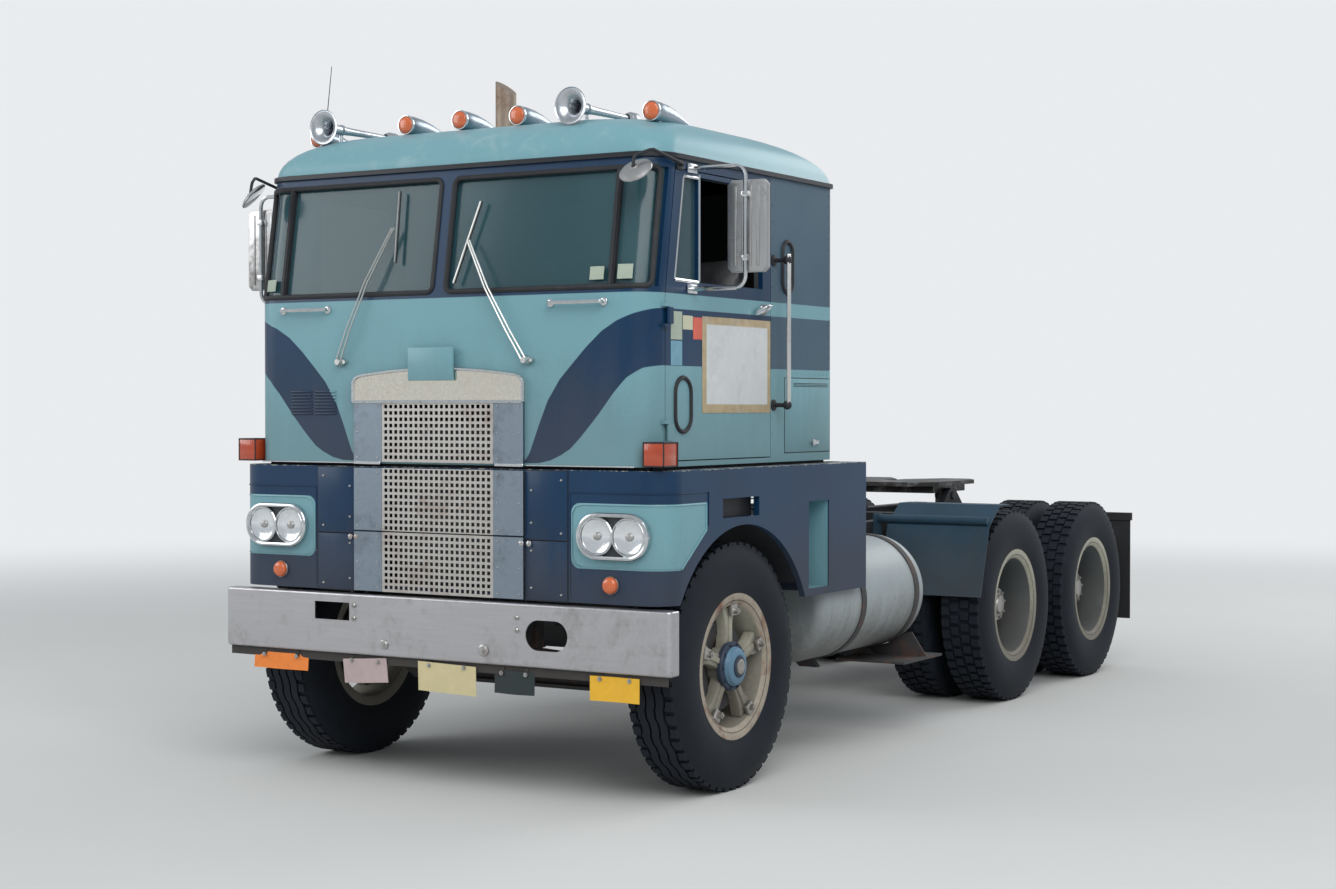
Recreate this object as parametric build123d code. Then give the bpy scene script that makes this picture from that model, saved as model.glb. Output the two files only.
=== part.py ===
from build123d import *
import os
from math import atan2, cos, degrees, hypot, pi, radians, sin, sqrt, tan

# A cab-over road tractor with a tilting sleeper cab, three axles and a fifth wheel.
# Millimetres, z up from the ground, x towards the driver's left hand, the front faces -y.
# While a piece is made, y is the distance behind the bumper's front face. "place" moves
# each finished piece so that the origin lies on the ground at mid length.

# Axles and wheels
front_overhang = 710
wheelbase = 4035
tandem_spacing = 1306
rear_overhang = 1400
tyre_radius = 550
tyre_width = 280
tyre_bead_radius = 286
tread_width = 214
rim_flange_radius = 325
rim_width = 240
rim_wall = 10
front_track_half = 1015
dual_outer_x = 990
dual_spacing = 345
wheel_sides = 36
drum_radius = 205
kingpin_x = 840
tie_rod_eye = 22
kingpin_radius = 20
steering_arm = 200
spindle_radius = 35
axle_spindle_radius = 55

# Frame
rail_outer = 432
rail_flange = 85
rail_wall = 8
frame_top = 1040
rail_depth = 260
spring_width = 76
leaf_thickness = 12

# Bumper and lower body
bumper_half_width = 1220
bumper_bottom = 580
bumper_top = 853
bumper_depth = 70
bumper_wall = 7
body_front = 40
body_half_width = 1175
body_bottom = 866
body_top = 1430
body_wall = 30
body_corner = 130
skirt_bottom = 815
skirt_rear = 1950
arch_radius = 650
arch_shift = 5
grille_half_width = 466
mesh_half_width = 317
mesh_pitch = 48
mesh_bar = 16
grille_depth = 14
panel_split_x = 690
lamp_height = 1153
lamp_radius = 84

# Cab
cab_half_width = 1085
cab_gap = 14
cab_rear = 1766
cab_corner = 140
cab_rear_corner = 45
cab_wall = 45
cab_rake = 90
belt = 2180
gutter = 2755
roof_rise = 195
roof_round = 165
gutter_lip = 14
gutter_depth = 20
door_front = 180
door_rear = 1124
door_bottom = 1466
door_top = 2715
door_gap = 5
hinge_heights = (1590, 2085)
hinge_length = 70
hinge_radius = 9
hinge_pin = 5
windshield_bottom = 2205
windshield_top = 2712
post_half = 36
corner_post_in = 888
corner_post_out = 912
corner_glass_rear = 140
glass_thickness = 6
window_bottom = 2235
window_top = 2690
window_front = 253
window_rear = 1046
vent_bar = 470
vent_bar_width = 22
floor_thickness = 30
tunnel_half_width = 430
tunnel_top = 1690
tunnel_wall = 20
header_top = 1866
header_bottom = 1722

# Cab tilt
pivot_behind_front = 80
pivot_z = 1020
pivot_pin = 20
arm_inner = 456
arm_thickness = 40
bracket_thickness = 14
arm_reach = 500

# Fuel tanks
tank_front = 1570
tank_length = 1200
tank_radius = 290
tank_x = 845
tank_z = 735
tank_dome = 60
strap_width = 50
strap_thickness = 6

# Fifth wheel
plate_top = 1240
plate_half_width = 450
plate_front_reach = 400
plate_rear_reach = 440
plate_thickness = 25
plate_pin_z = 1150
plate_pin_radius = 25
kingpin_hole = 27

# Exhaust stack
stack_x = 935
stack_top = 3470
pipe_radius = 56
muffler_radius = 100

# Clearances
pin_clearance = 0.1
seat_gap = 0.3
running_gap = 6

# Worked out from the driving sizes
length = front_overhang + wheelbase + rear_overhang
front_axle_y = front_overhang
tandem_y = front_overhang + wheelbase
drive_axle_y = [tandem_y - tandem_spacing / 2, tandem_y + tandem_spacing / 2]
wheel_z = tyre_radius
frame_bottom = frame_top - rail_depth
cab_bottom = body_top + cab_gap
cab_front_y = body_front
pivot_y = body_front + pivot_behind_front
hinge_x = cab_half_width + 14
hinge_y = door_front + 8
rim_in = rim_flange_radius - 62
dual_inner_x = dual_outer_x - dual_spacing
hub_face = dual_outer_x - 60
tyre_half = tyre_width / 2


def block(x, y, z):
    # a box from three (low, high) pairs
    size = [pair[1] - pair[0] for pair in (x, y, z)]
    middle = [(pair[1] + pair[0]) / 2 for pair in (x, y, z)]
    return Pos(*middle) * Box(*size)


def rod_x(radius, x, y, z):
    return Pos((x[0] + x[1]) / 2, y, z) * Rot(0, 90, 0) * Cylinder(radius, x[1] - x[0])


def rod_y(radius, x, y, z):
    return Pos(x, (y[0] + y[1]) / 2, z) * Rot(90, 0, 0) * Cylinder(radius, y[1] - y[0])


def rod_z(radius, x, y, z):
    return Pos(x, y, (z[0] + z[1]) / 2) * Cylinder(radius, z[1] - z[0])


def prism_x(points, x):
    # a (y, z) outline carried along x
    return extrude(Plane.YZ.offset(x[0]) * Polygon(*points, align=None), x[1] - x[0], dir=(1, 0, 0))


def prism_y(points, y):
    # an (x, z) outline carried along y
    return extrude(Plane.XZ.offset(-y[0]) * Polygon(*points, align=None), y[1] - y[0], dir=(0, 1, 0))


def prism_z(points, z):
    # an (x, y) outline carried up z
    return extrude(Plane.XY.offset(z[0]) * Polygon(*points, align=None), z[1] - z[0], dir=(0, 0, 1))


def bent_rod(points, radius, bend):
    # a round bar along straight runs joined by arcs
    path = FilletPolyline(*points, radius=bend)
    profile = Plane(origin=path @ 0, z_dir=path % 0) * Circle(radius)
    return sweep(profile, path=path)


def mirrored(part):
    return mirror(part, about=Plane.YZ)


def both_sides(part):
    return [part, mirrored(part)]


def turned(stations, y, z, sides=wheel_sides):
    # a wheel-like form about an axis along x, from (x, radius) pairs, in flat facets
    rings = [
        Plane((0, y, z), x_dir=(0, 1, 0), z_dir=(1, 0, 0)).offset(x)
        * RegularPolygon(radius, sides, major_radius=False, rotation=180 / sides)
        for x, radius in stations
    ]
    return loft([ring.face() for ring in rings], ruled=True)


# Frame and running gear


def frame_rails():
    start = body_front + body_wall + seat_gap
    end = length - 40
    outer = block((rail_outer - rail_flange, rail_outer), (start, end), (frame_bottom, frame_top))
    hollow = block(
        (rail_outer - rail_flange - 1, rail_outer - rail_wall),
        (start - 1, end + 1),
        (frame_bottom + rail_wall, frame_top - rail_wall),
    )
    tail = prism_x(
        [(end - 380, frame_bottom - 1), (end + 1, frame_bottom + 110), (end + 1, frame_bottom - 1)],
        (0, rail_outer + 1),
    )
    return both_sides(outer - hollow - tail)


def crossmembers():
    # each is a hat section between the rail webs, under the top flanges
    top = frame_top - rail_wall
    half = rail_outer - rail_wall
    pieces = []
    for y, depth, height in (
        (230, 120, 90),
        (2480, 110, 100),
        (3350, 110, 100),
        (tandem_y, 160, 100),
        (length - 120, 110, 120),
    ):
        low = frame_bottom + rail_wall if y < front_axle_y else top - height
        high = low + height
        shell = block((-half, half), (y - depth / 2, y + depth / 2), (low, high))
        inside = block(
            (-half - 1, half + 1),
            (y - depth / 2 + rail_wall, y + depth / 2 - rail_wall),
            (low - 1, high - rail_wall),
        )
        pieces.append(shell - inside)
    return pieces


def cab_supports():
    # front pivot brackets with their pins, and the rear rests under the cab floor
    pieces = []
    outer_plate = arm_inner + arm_thickness + running_gap
    bracket = prism_x(
        [
            (pivot_y - 45, pivot_z - 170),
            (pivot_y - 45, pivot_z + 30),
            (pivot_y - 20, pivot_z + 50),
            (pivot_y + 30, pivot_z + 50),
            (pivot_y + 170, pivot_z - 80),
            (pivot_y + 170, pivot_z - 170),
        ],
        (rail_outer, rail_outer + bracket_thickness),
    )
    outer = prism_x(
        [
            (pivot_y - 45, pivot_z - 170),
            (pivot_y - 45, pivot_z + 30),
            (pivot_y - 20, pivot_z + 50),
            (pivot_y + 30, pivot_z + 50),
            (pivot_y + 60, pivot_z - 170),
        ],
        (outer_plate, outer_plate + bracket_thickness),
    )
    web = block(
        (rail_outer, outer_plate + bracket_thickness),
        (pivot_y - 20, pivot_y + 60),
        (pivot_z - 184, pivot_z - 170),
    )
    pin = rod_x(pivot_pin, (rail_outer, outer_plate + bracket_thickness + 12), pivot_y, pivot_z)
    front = bracket + outer + web + pin
    pieces += both_sides(front)
    post = block((330, 390), (1670, 1715), (frame_top, cab_bottom - 24))
    pad = block((300, 420), (1655, 1730), (cab_bottom - 24, cab_bottom - seat_gap))
    foot = block((320, 420), (1650, 1735), (frame_top, frame_top + 12))
    pieces += both_sides(post + pad + foot)
    wall = body_half_width - body_wall - seat_gap
    outrigger = prism_y(
        [
            (rail_outer, frame_top - 90), (rail_outer, frame_top - 5), (520, frame_top + 115),
            (wall, frame_top + 115), (wall, frame_top + 60), (545, frame_top + 60),
        ],
        (1745, 1780),
    )
    pieces += both_sides(outrigger)
    return pieces


def front_axle():
    # a dropped forged beam with an I section and an upright boss at each kingpin
    top = wheel_z - 50
    neck = kingpin_x - 60
    half = [
        (0, top - 105), (neck - 160, top - 105), (neck, wheel_z - 42), (kingpin_x, wheel_z - 42),
        (kingpin_x, wheel_z + 42), (neck - 20, wheel_z + 42), (neck - 200, top), (0, top),
    ]
    outline = half + [(-x, z) for x, z in half[-2:0:-1]]
    beam = prism_y(outline, (front_axle_y - 45, front_axle_y + 45))
    reach = neck - 220
    for side in (-1, 1):
        recess = [(-reach, top - 88), (reach, top - 88), (reach, top - 18), (-reach, top - 18)]
        depth = (front_axle_y + side * 14, front_axle_y + side * 46)
        beam -= prism_y(recess, (min(depth), max(depth)))
    for x in (-kingpin_x, kingpin_x):
        beam += rod_z(46, x, front_axle_y, (wheel_z - 50, wheel_z + 50))
    for x in (-kingpin_x, kingpin_x):
        beam -= rod_z(kingpin_radius + pin_clearance, x, front_axle_y, (wheel_z - 60, wheel_z + 60))
    return [beam]


def leaf_spring(y, x, seat, half_length, leaves, rise):
    # stepped leaves over a seat, the longest one cambered up to its eyes
    low = seat + leaf_thickness * leaves
    arch = [
        (y - half_length, low - leaf_thickness + rise), (y - half_length, low + rise),
        (y - 120, low), (y + 120, low),
        (y + half_length, low + rise), (y + half_length, low - leaf_thickness + rise),
        (y + 120, low - leaf_thickness), (y - 120, low - leaf_thickness),
    ]
    half = spring_width / 2
    stack = prism_x(arch, (x - half, x + half))
    for step in range(1, leaves):
        reach = half_length * (1 - step / (leaves + 1))
        lift = rise * max(reach - 120, 0) / (half_length - 120)
        upper = low - leaf_thickness * step
        stack += prism_x(
            [
                (y - reach, upper - leaf_thickness + lift), (y - reach, upper + lift),
                (y - 120, upper), (y + 120, upper),
                (y + reach, upper + lift), (y + reach, upper - leaf_thickness + lift),
                (y + 120, upper - leaf_thickness), (y - 120, upper - leaf_thickness),
            ],
            (x - half, x + half),
        )
    eye = low + rise
    for end in (-1, 1):
        at = y + end * half_length
        hanger = block((x - half, x + half), (at - 30, at + 30), (eye, frame_bottom))
        stack += hanger
    return stack


def leaf_springs():
    x = rail_outer - rail_flange / 2
    pieces = both_sides(leaf_spring(front_axle_y, x, wheel_z - 50, 500, 6, 70))
    for y in drive_axle_y:
        pieces += both_sides(leaf_spring(y, x, wheel_z + 70, 460, 5, 45))
    return pieces


def drive_axles():
    # banjo housings with their tubes and spindles, and the two shafts that drive them
    pieces = []
    for y in drive_axle_y:
        tube = rod_x(68, (-dual_inner_x + 95, dual_inner_x - 95), y, wheel_z)
        spindle = rod_x(axle_spindle_radius, (-hub_face + 30, hub_face - 30), y, wheel_z)
        bowl = rod_y(205, 0, (y - 75, y + 75), wheel_z)
        nose = rod_y(110, 0, (y - 300, y - 70), wheel_z + 25)
        seats = [block((x - 45, x + 45), (y - 60, y + 60), (wheel_z, wheel_z + 70)) for x in (-390, 390)]
        pieces.append(tube + spindle + bowl + nose + seats[0] + seats[1])
    return pieces


def drive_shaft(start, end, radius):
    along = Vector(*end) - Vector(*start)
    plane = Plane(origin=start, z_dir=along)
    tube = extrude(plane.offset(25) * Circle(radius), along.length - 50)
    for end, span in ((start, (0, 60)), (end, (-60, 0))):
        tube += rod_y(radius * 1.35, 0, (end[1] + span[0], end[1] + span[1]), end[2])
    return tube


def drive_shafts():
    first = drive_shaft(
        (0, gearbox_rear + seat_gap, 800), (0, drive_axle_y[0] - 300 - seat_gap, wheel_z + 40), 45
    )
    second = drive_shaft(
        (0, drive_axle_y[0] + 75 + seat_gap, wheel_z + 25), (0, drive_axle_y[1] - 300 - seat_gap, wheel_z + 25), 40
    )
    return [first, second]


gearbox_rear = 2380


def engine_block():
    # the engine as one plain block with its sump and gearbox, and the radiator ahead of it
    crankcase = block((-300, 300), (520, 1590), (700, 1350))
    heads = prism_y(
        [(-300, 1350), (-340, 1450), (-300, 1555), (300, 1555), (340, 1450), (300, 1350)], (560, 1560)
    )
    sump = block((-180, 180), (870, 1550), (560, 700))
    bell = rod_y(240, 0, (1590, 1780), 850)
    gearbox = prism_y(
        [(-170, 660), (-200, 720), (-200, 930), (-150, 985), (150, 985), (200, 930), (200, 720), (170, 660)],
        (1780, gearbox_rear),
    )
    core = block((-335, 335), (165, 245), (905, 1600))
    tanks = block((-340, 340), (155, 255), (1560, 1615))
    foot = block((-300, 300), (175, 285), (frame_bottom + rail_wall + 90, 905))
    return [crankcase + heads + sump + bell + gearbox, core + tanks + foot]


# Bumper and lower body


def front_bumper():
    half = bumper_half_width
    shell = block((-half, half), (0, bumper_depth), (bumper_bottom, bumper_top))
    front_edges = shell.edges().filter_by(Axis.Z).group_by(Axis.Y)[0]
    shell = fillet(front_edges, 26)
    long_edges = shell.edges().filter_by(Axis.X).group_by(Axis.Y)[0]
    shell = fillet(long_edges, 10)
    inside = block(
        (-half + bumper_wall, half - bumper_wall),
        (bumper_wall, bumper_depth + 1),
        (bumper_bottom + bumper_wall, bumper_top - bumper_wall),
    )
    inside = fillet(inside.edges().filter_by(Axis.Z).group_by(Axis.Y)[0], 26 - bumper_wall)
    shell -= inside
    tow_slot = block((-676, -474), (-1, bumper_wall + 1), (731, 812))
    oval = Pos(603, 0, 720) * Rot(90, 0, 0) * extrude(SlotOverall(216, 131), 20, both=True)
    return [shell - tow_slot - oval]


def bumper_bar():
    # an angle iron under the bumper, and the two plates that carry the bumper
    half = bumper_half_width - 22
    leg = block((-half, half), (18, 24), (bumper_bottom - 40, bumper_bottom))
    ledge = block((-half, half), (18, bumper_depth), (bumper_bottom - 6, bumper_bottom))
    plate = prism_x(
        [
            (bumper_wall, bumper_bottom + 20), (bumper_wall, bumper_top - 25),
            (320, bumper_top - 25), (320, frame_bottom + 5), (160, frame_bottom + 5),
            (bumper_depth + 10, bumper_bottom + 20),
        ],
        (rail_outer, rail_outer + 12),
    )
    return [leg + ledge] + both_sides(plate)


def body_shell():
    # the plan outline of the lower body, a U open to the rear, as an upright wall
    def plan(inset):
        half = body_half_width - inset
        sketch = Polygon(
            (-half, body_front + inset), (half, body_front + inset),
            (half, skirt_rear + 50), (-half, skirt_rear + 50), align=None,
        )
        corners = sketch.vertices().group_by(Axis.Y)[0]
        return fillet(corners, body_corner - inset)

    low = Plane.XY.offset(skirt_bottom)
    height = body_top - skirt_bottom
    outer = extrude(low * plan(0), height)
    inner = extrude(low * plan(body_wall), height)
    return outer - inner


def arch_cut(x):
    return rod_x(arch_radius, x, front_axle_y + arch_shift, wheel_z - 20)


def front_apron():
    half = panel_split_x
    span = block((-half, half), (body_front, body_front + body_wall), (body_bottom, body_top))
    opening = block(
        (-mesh_half_width, mesh_half_width),
        (body_front - 1, body_front + body_wall + 1),
        (body_bottom + 40, body_top - 12),
    )
    return [span - opening]


def fender():
    side = body_shell() & block(
        (panel_split_x, body_half_width + 1), (0, skirt_rear), (skirt_bottom, body_top)
    )
    side -= block((0, body_half_width + 1), (0, front_axle_y), (skirt_bottom - 1, body_bottom))
    side -= arch_cut((panel_split_x, body_half_width + 1))
    inner = body_half_width - body_wall
    ledge = block(
        (cab_half_width - 25, inner), (body_front + body_corner, skirt_rear), (body_top - 8, body_top)
    )
    rear_wall = block((cab_half_width - 260, inner), (skirt_rear - 20, skirt_rear), (skirt_bottom, body_top))
    side += ledge + rear_wall
    side -= rod_y(tank_radius + 14, tank_x, (skirt_rear - 30, skirt_rear + 10), tank_z)
    vent = block((inner - 1, body_half_width + 1), (520, 850), (1215, 1300))
    side -= vent
    step_y = (1334, 1543)
    step_z = (850, 1259)
    pocket = block((inner - 110, body_half_width + 1), step_y, step_z)
    box = block(
        (inner - 120, inner), (step_y[0] - 10, step_y[1] + 10), (step_z[0] - 10, step_z[1] + 10)
    )
    return side + box - pocket


def fenders():
    return both_sides(fender())


def mesh_panel(z):
    # crossing bars in a frame, with an aluminium strip on each side
    columns = int(2 * mesh_half_width / mesh_pitch)
    rows = int((z[1] - z[0] - 2 * mesh_bar) / mesh_pitch)
    hole = mesh_pitch - mesh_bar
    face = Pos(0, (z[0] + z[1]) / 2) * (
        Rectangle(2 * grille_half_width, z[1] - z[0])
        - GridLocations(mesh_pitch, mesh_pitch, columns, rows) * Rectangle(hole, hole)
    )
    back = body_front - seat_gap
    return extrude(Plane.XZ.offset(-back) * face, grille_depth - seat_gap, dir=(0, -1, 0))


def lower_grille():
    return [mesh_panel((body_bottom, body_top - 2))]


def headlamps():
    # an oval bezel round two round lenses, on each side
    pieces = []
    centres = (844, 1004)
    face = body_front - seat_gap
    middle = sum(centres) / 2
    width = centres[1] - centres[0] + 2 * lamp_radius + 36
    plane = Plane.XZ.offset(-face) * Pos(middle, lamp_height)
    bezel = extrude(plane * SlotOverall(width, 2 * lamp_radius + 30), 34)
    bezel = fillet(bezel.edges().group_by(Axis.Y)[0], 10)
    for x in centres:
        bezel -= rod_y(lamp_radius, x, (face - 40, face - 12), lamp_height)
    lenses = []
    for x in centres:
        cup = rod_y(lamp_radius - 4, x, (face - 26, face - 12 - seat_gap), lamp_height)
        lenses.append(cup)
    for item in [bezel] + lenses:
        pieces += both_sides(item)
    return pieces


def small_lamps():
    pieces = both_sides(rod_y(33, 923, (body_front - 22, body_front - seat_gap), 947))
    return pieces


# Tanks, fenders and rear fittings


def tank(side_x):
    barrel = rod_y(tank_radius, side_x, (tank_front, tank_front + tank_length), tank_z)
    barrel = fillet(barrel.edges().filter_by(GeomType.CIRCLE), tank_dome)
    return barrel


def fuel_tanks():
    return both_sides(tank(tank_x))


def tank_brackets():
    # two straps and two saddle brackets a side, and a step plate under the rear strap
    pieces = []
    for y in (tank_front + 440, tank_front + tank_length - 130):
        low = tank_radius + seat_gap
        ring = rod_y(low + strap_thickness, tank_x, (y - strap_width / 2, y + strap_width / 2), tank_z)
        ring -= rod_y(low, tank_x, (y - strap_width, y + strap_width), tank_z)
        saddle = prism_y(
            [
                (rail_outer, frame_top - 10), (rail_outer + 60, frame_top - 10),
                (tank_x - tank_radius + 60, tank_z), (tank_x + 40, tank_z - tank_radius - 50),
                (tank_x - 60, tank_z - tank_radius - 50), (rail_outer, frame_bottom - 60),
            ],
            (y - 18, y + 18),
        )
        saddle -= rod_y(low, tank_x, (y - strap_width, y + strap_width), tank_z)
        pieces.append(ring + saddle)
    y = tank_front + tank_length - 130
    floor = tank_z - tank_radius - 50
    step = block((tank_x - 60, tank_x + 330), (y - 240, y + 240), (floor - 12, floor))
    hanger = prism_y(
        [(tank_x - 60, floor), (tank_x + 320, floor), (tank_x + 235, floor + 125), (tank_x - 60, floor + 45)],
        (y + 60, y + 68),
    )
    hanger -= rod_y(low + strap_thickness, tank_x, (y, y + 100), tank_z)
    pieces[-1] = pieces[-1] + step + hanger
    return pieces + [mirrored(piece) for piece in pieces]


def quarter_fenders():
    # bent plates ahead of the forward drive wheels, each on a tube across the frame
    y = drive_axle_y[0]
    inner = dual_inner_x - tyre_half
    outer = dual_outer_x + tyre_half
    sheet = 6
    crest = tyre_radius * 2 + 43
    bend = (y - 457, crest - 118)
    outline = [
        (y - 150, crest), (y - 295, crest), bend, (y - 577, 638),
        (y - 571, 638), (bend[0] + sheet, bend[1] - 2), (y - 292, crest - sheet), (y - 150, crest - sheet),
    ]
    plate = prism_x(outline, (inner, outer))
    tube = rod_x(24, (rail_outer, outer - 10), bend[0] + 12, bend[1] + 32)
    foot = block((rail_outer, rail_outer + 14), (bend[0] - 40, bend[0] + 50), (frame_top - 90, bend[1] + 60))
    return both_sides(plate + tube + foot)


def exhaust_stack():
    # a muffler and a slash-cut pipe on a post behind the cab, on the right
    x = -stack_x
    y = cab_rear + muffler_radius + 14
    low = body_top + 30 + pipe_radius
    drop_x = -rail_outer - pipe_radius - 20
    pipe = rod_z(pipe_radius, x, y, (low, stack_top))
    slash = prism_y([(x - 80, stack_top + 1), (x + 80, stack_top + 1), (x + 80, stack_top - 110)], (y - 80, y + 80))
    muffler = rod_z(muffler_radius, x, y, (low + 90, low + 1040))
    elbow = rod_x(pipe_radius, (x, drop_x), y, low)
    drop = rod_z(pipe_radius, drop_x, y, (frame_bottom + 100, low))
    corners = Pos(x, y, low) * Sphere(pipe_radius) + Pos(drop_x, y, low) * Sphere(pipe_radius)
    bracket = block((drop_x, -rail_outer), (y - 30, y + 30), (frame_top - 120, frame_top - 40))
    return [(pipe - slash) + muffler + elbow + drop + corners + bracket]


def deck_plate():
    return [block((-rail_outer, rail_outer), (2420, 3300), (frame_top, frame_top + 6))]


def fifth_wheel_base():
    # an angle on each rail with an upright ear that holds the plate's pin
    sill = block((rail_outer - 80, rail_outer), (tandem_y - 420, tandem_y + 420), (frame_top, frame_top + 16))
    ear = prism_x(
        [
            (tandem_y - 200, frame_top + 16), (tandem_y - 55, plate_pin_z + 30),
            (tandem_y - 30, plate_pin_z + 45), (tandem_y + 30, plate_pin_z + 45),
            (tandem_y + 55, plate_pin_z + 30), (tandem_y + 200, frame_top + 16),
        ],
        (rail_outer - 40, rail_outer),
    )
    pin = rod_x(plate_pin_radius, (rail_outer - 110, rail_outer + 10), tandem_y, plate_pin_z)
    return both_sides(sill + ear + pin)


def fifth_wheel_plate():
    # a thick plate with a flared throat at the rear and a hole for the trailer's pin
    front = tandem_y - plate_front_reach
    rear = tandem_y + plate_rear_reach
    half = plate_half_width
    outline = [
        (-half + 120, front), (half - 120, front), (half, front + 150), (half, rear - 140),
        (half - 90, rear), (190, rear), (kingpin_hole, tandem_y + 170), (kingpin_hole, tandem_y),
        (-kingpin_hole, tandem_y), (-kingpin_hole, tandem_y + 170), (-190, rear),
        (-half + 90, rear), (-half, rear - 140), (-half, front + 150),
    ]
    under = plate_top - plate_thickness
    plate = prism_z(outline, (under, plate_top))
    plate -= rod_z(kingpin_hole, 0, tandem_y, (under - 1, plate_top + 1))
    rib = block((-half + 40, half - 40), (tandem_y - 250, tandem_y - 225), (under - 45, under))
    plate += rib
    ear_in = rail_outer - 40 - running_gap - 45
    for side in (-1, 1):
        x = sorted((side * ear_in, side * (ear_in + 45)))
        plate += block(x, (tandem_y - 250, tandem_y + 300), (under - 45, under))
        plate += block(x, (tandem_y - 60, tandem_y + 60), (plate_pin_z - 45, under))
        plate -= rod_x(plate_pin_radius + pin_clearance, (x[0] - 1, x[1] + 1), tandem_y, plate_pin_z)
    return [plate]


def mud_flaps():
    # a hanger bar across the rail ends, tail lamps on it, and a rubber flap on each side
    end = length - 40
    bar = block((-1120, 1120), (end, end + 30), (frame_top - 90, frame_top - 40))
    pieces = [bar]
    for side in (-1, 1):
        x = sorted((side * 520, side * 1110))
        pieces.append(block(x, (end + 10, end + 22), (300, frame_top - 90 - seat_gap)))
    return pieces


# Steering


def knuckle():
    # a fork round the axle boss with its kingpin, a spindle, a brake plate and an arm
    gap = 2
    inner = kingpin_x - 45
    outer = front_track_half - 53
    y = (front_axle_y - 42, front_axle_y + 42)
    body = block((inner, outer), y, (wheel_z + 50 + gap, wheel_z + 84))
    body += block((inner, outer), y, (wheel_z - 84, wheel_z - 50 - gap))
    body += block((outer - 24, outer), y, (wheel_z - 84, wheel_z + 84))
    body += rod_z(kingpin_radius, kingpin_x, front_axle_y, (wheel_z - 92, wheel_z + 92))
    body += rod_x(spindle_radius, (outer - 12, front_track_half + 95), front_axle_y, wheel_z)
    body += rod_x(drum_radius - 15, (outer - 10, outer - 2), front_axle_y, wheel_z)
    arm_z = (wheel_z - 84, wheel_z - 60)
    arm_end = front_axle_y + steering_arm
    body += block((kingpin_x - 30, kingpin_x + 30), (front_axle_y, arm_end), arm_z)
    body += rod_z(30, kingpin_x, arm_end, arm_z)
    return body + rod_z(12, kingpin_x, arm_end, (wheel_z - 128, wheel_z - 60))


def tie_rod():
    y = front_axle_y + steering_arm
    z = wheel_z - 108
    bar = rod_x(18, (-kingpin_x, kingpin_x), y, z)
    for x in (-kingpin_x, kingpin_x):
        bar += rod_z(tie_rod_eye, x, y, (z - 22, z + 22))
    bar -= rod_z(12 + pin_clearance, kingpin_x, y, (z - 30, z + 30))
    bar -= rod_z(12 + pin_clearance * 10, -kingpin_x, y, (z - 30, z + 30))
    return [bar]


# Wheels


def tyre(x, y=0):
    bead = rim_width / 2 - rim_wall - 2
    tread = tread_width / 2
    profile = [
        (bead, tyre_bead_radius + 14), (bead + 1, rim_flange_radius + 6), (tyre_half, tyre_radius - 120),
        (tread + 12, tyre_radius - 28), (tread, tyre_radius),
    ]
    stations = [(x - out, radius) for out, radius in profile]
    stations += [(x + out, radius) for out, radius in profile[::-1]]
    half = tyre_half
    carcass = turned(stations, y, wheel_z)
    return carcass - turned([(x - half - 1, tyre_bead_radius), (x + half + 1, tyre_bead_radius)], y, wheel_z)


def rim(x, y=0):
    half = rim_width / 2
    seat = tyre_bead_radius - seat_gap
    band = turned([(x - half, seat), (x + half, seat)], y, wheel_z)
    for end in (-1, 1):
        lip = sorted((x + end * half, x + end * (half - rim_wall)))
        band += turned([(lip[0], rim_flange_radius), (lip[1], rim_flange_radius)], y, wheel_z)
    return band - turned([(x - half - 1, rim_in), (x + half + 1, rim_in)], y, wheel_z)


def spoke(x, angle, hub_radius, reach, y=0):
    tip = 52
    root = 34
    outline = Polygon((hub_radius - 10, -root), (reach, -tip), (reach, tip), (hub_radius - 10, root), align=None)
    plane = Plane((x[0], y, wheel_z), x_dir=(0, 1, 0), z_dir=(1, 0, 0))
    return extrude(plane * Rot(0, 0, angle) * outline, x[1] - x[0])


def front_wheel():
    # the left wheel about the axle: a rim on a five-spoke spider, hub, cap and brake drum
    x = front_track_half
    hub = (x - 43, x + 100)
    forms = [rim(x), turned([(hub[0], 85), (hub[1], 85)], 0, wheel_z, 20)]
    forms += [spoke((x + 35, x + 90), 90 + 72 * number, 85, rim_in + 2) for number in range(5)]
    forms.append(turned([(hub[1], 72), (hub[1] + 35, 62)], 0, wheel_z, 20))
    drum = turned([(hub[0], drum_radius), (x + 41, drum_radius)], 0, wheel_z, 20)
    drum -= turned([(hub[0] - 1, drum_radius - 22), (x + 31, drum_radius - 22)], 0, wheel_z, 20)
    wheel = drum.fuse(*forms)
    return wheel - rod_x(spindle_radius + pin_clearance, (hub[0] - 2, hub[1] - 3), 0, wheel_z)


def drive_wheel():
    # a left dual wheel about its axle: two rims on one spider, with the drum inboard
    inner = dual_inner_x
    outer = dual_outer_x
    band = (inner + rim_width / 2, outer - rim_width / 2)
    spacer = turned([(band[0], rim_in + 20), (band[1], rim_in + 20)], 0, wheel_z)
    spacer -= turned([(band[0] - 1, rim_in), (band[1] + 1, rim_in)], 0, wheel_z)
    forms = [rim(outer), rim(inner)]
    forms += [spoke((band[0] + 30, band[1]), 90 + 72 * number, 100, rim_in + 2) for number in range(5)]
    forms.append(turned([(inner + 20, 100), (hub_face, 100)], 0, wheel_z, 20))
    drum = turned([(inner - 60, drum_radius), (760, drum_radius)], 0, wheel_z, 20)
    drum -= turned([(inner - 61, drum_radius - 20), (745, drum_radius - 20)], 0, wheel_z, 20)
    wheel = spacer.fuse(drum, *forms)
    return wheel - rod_x(axle_spindle_radius + pin_clearance, (inner - 100, hub_face - 25), 0, wheel_z)


# Cab


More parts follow.
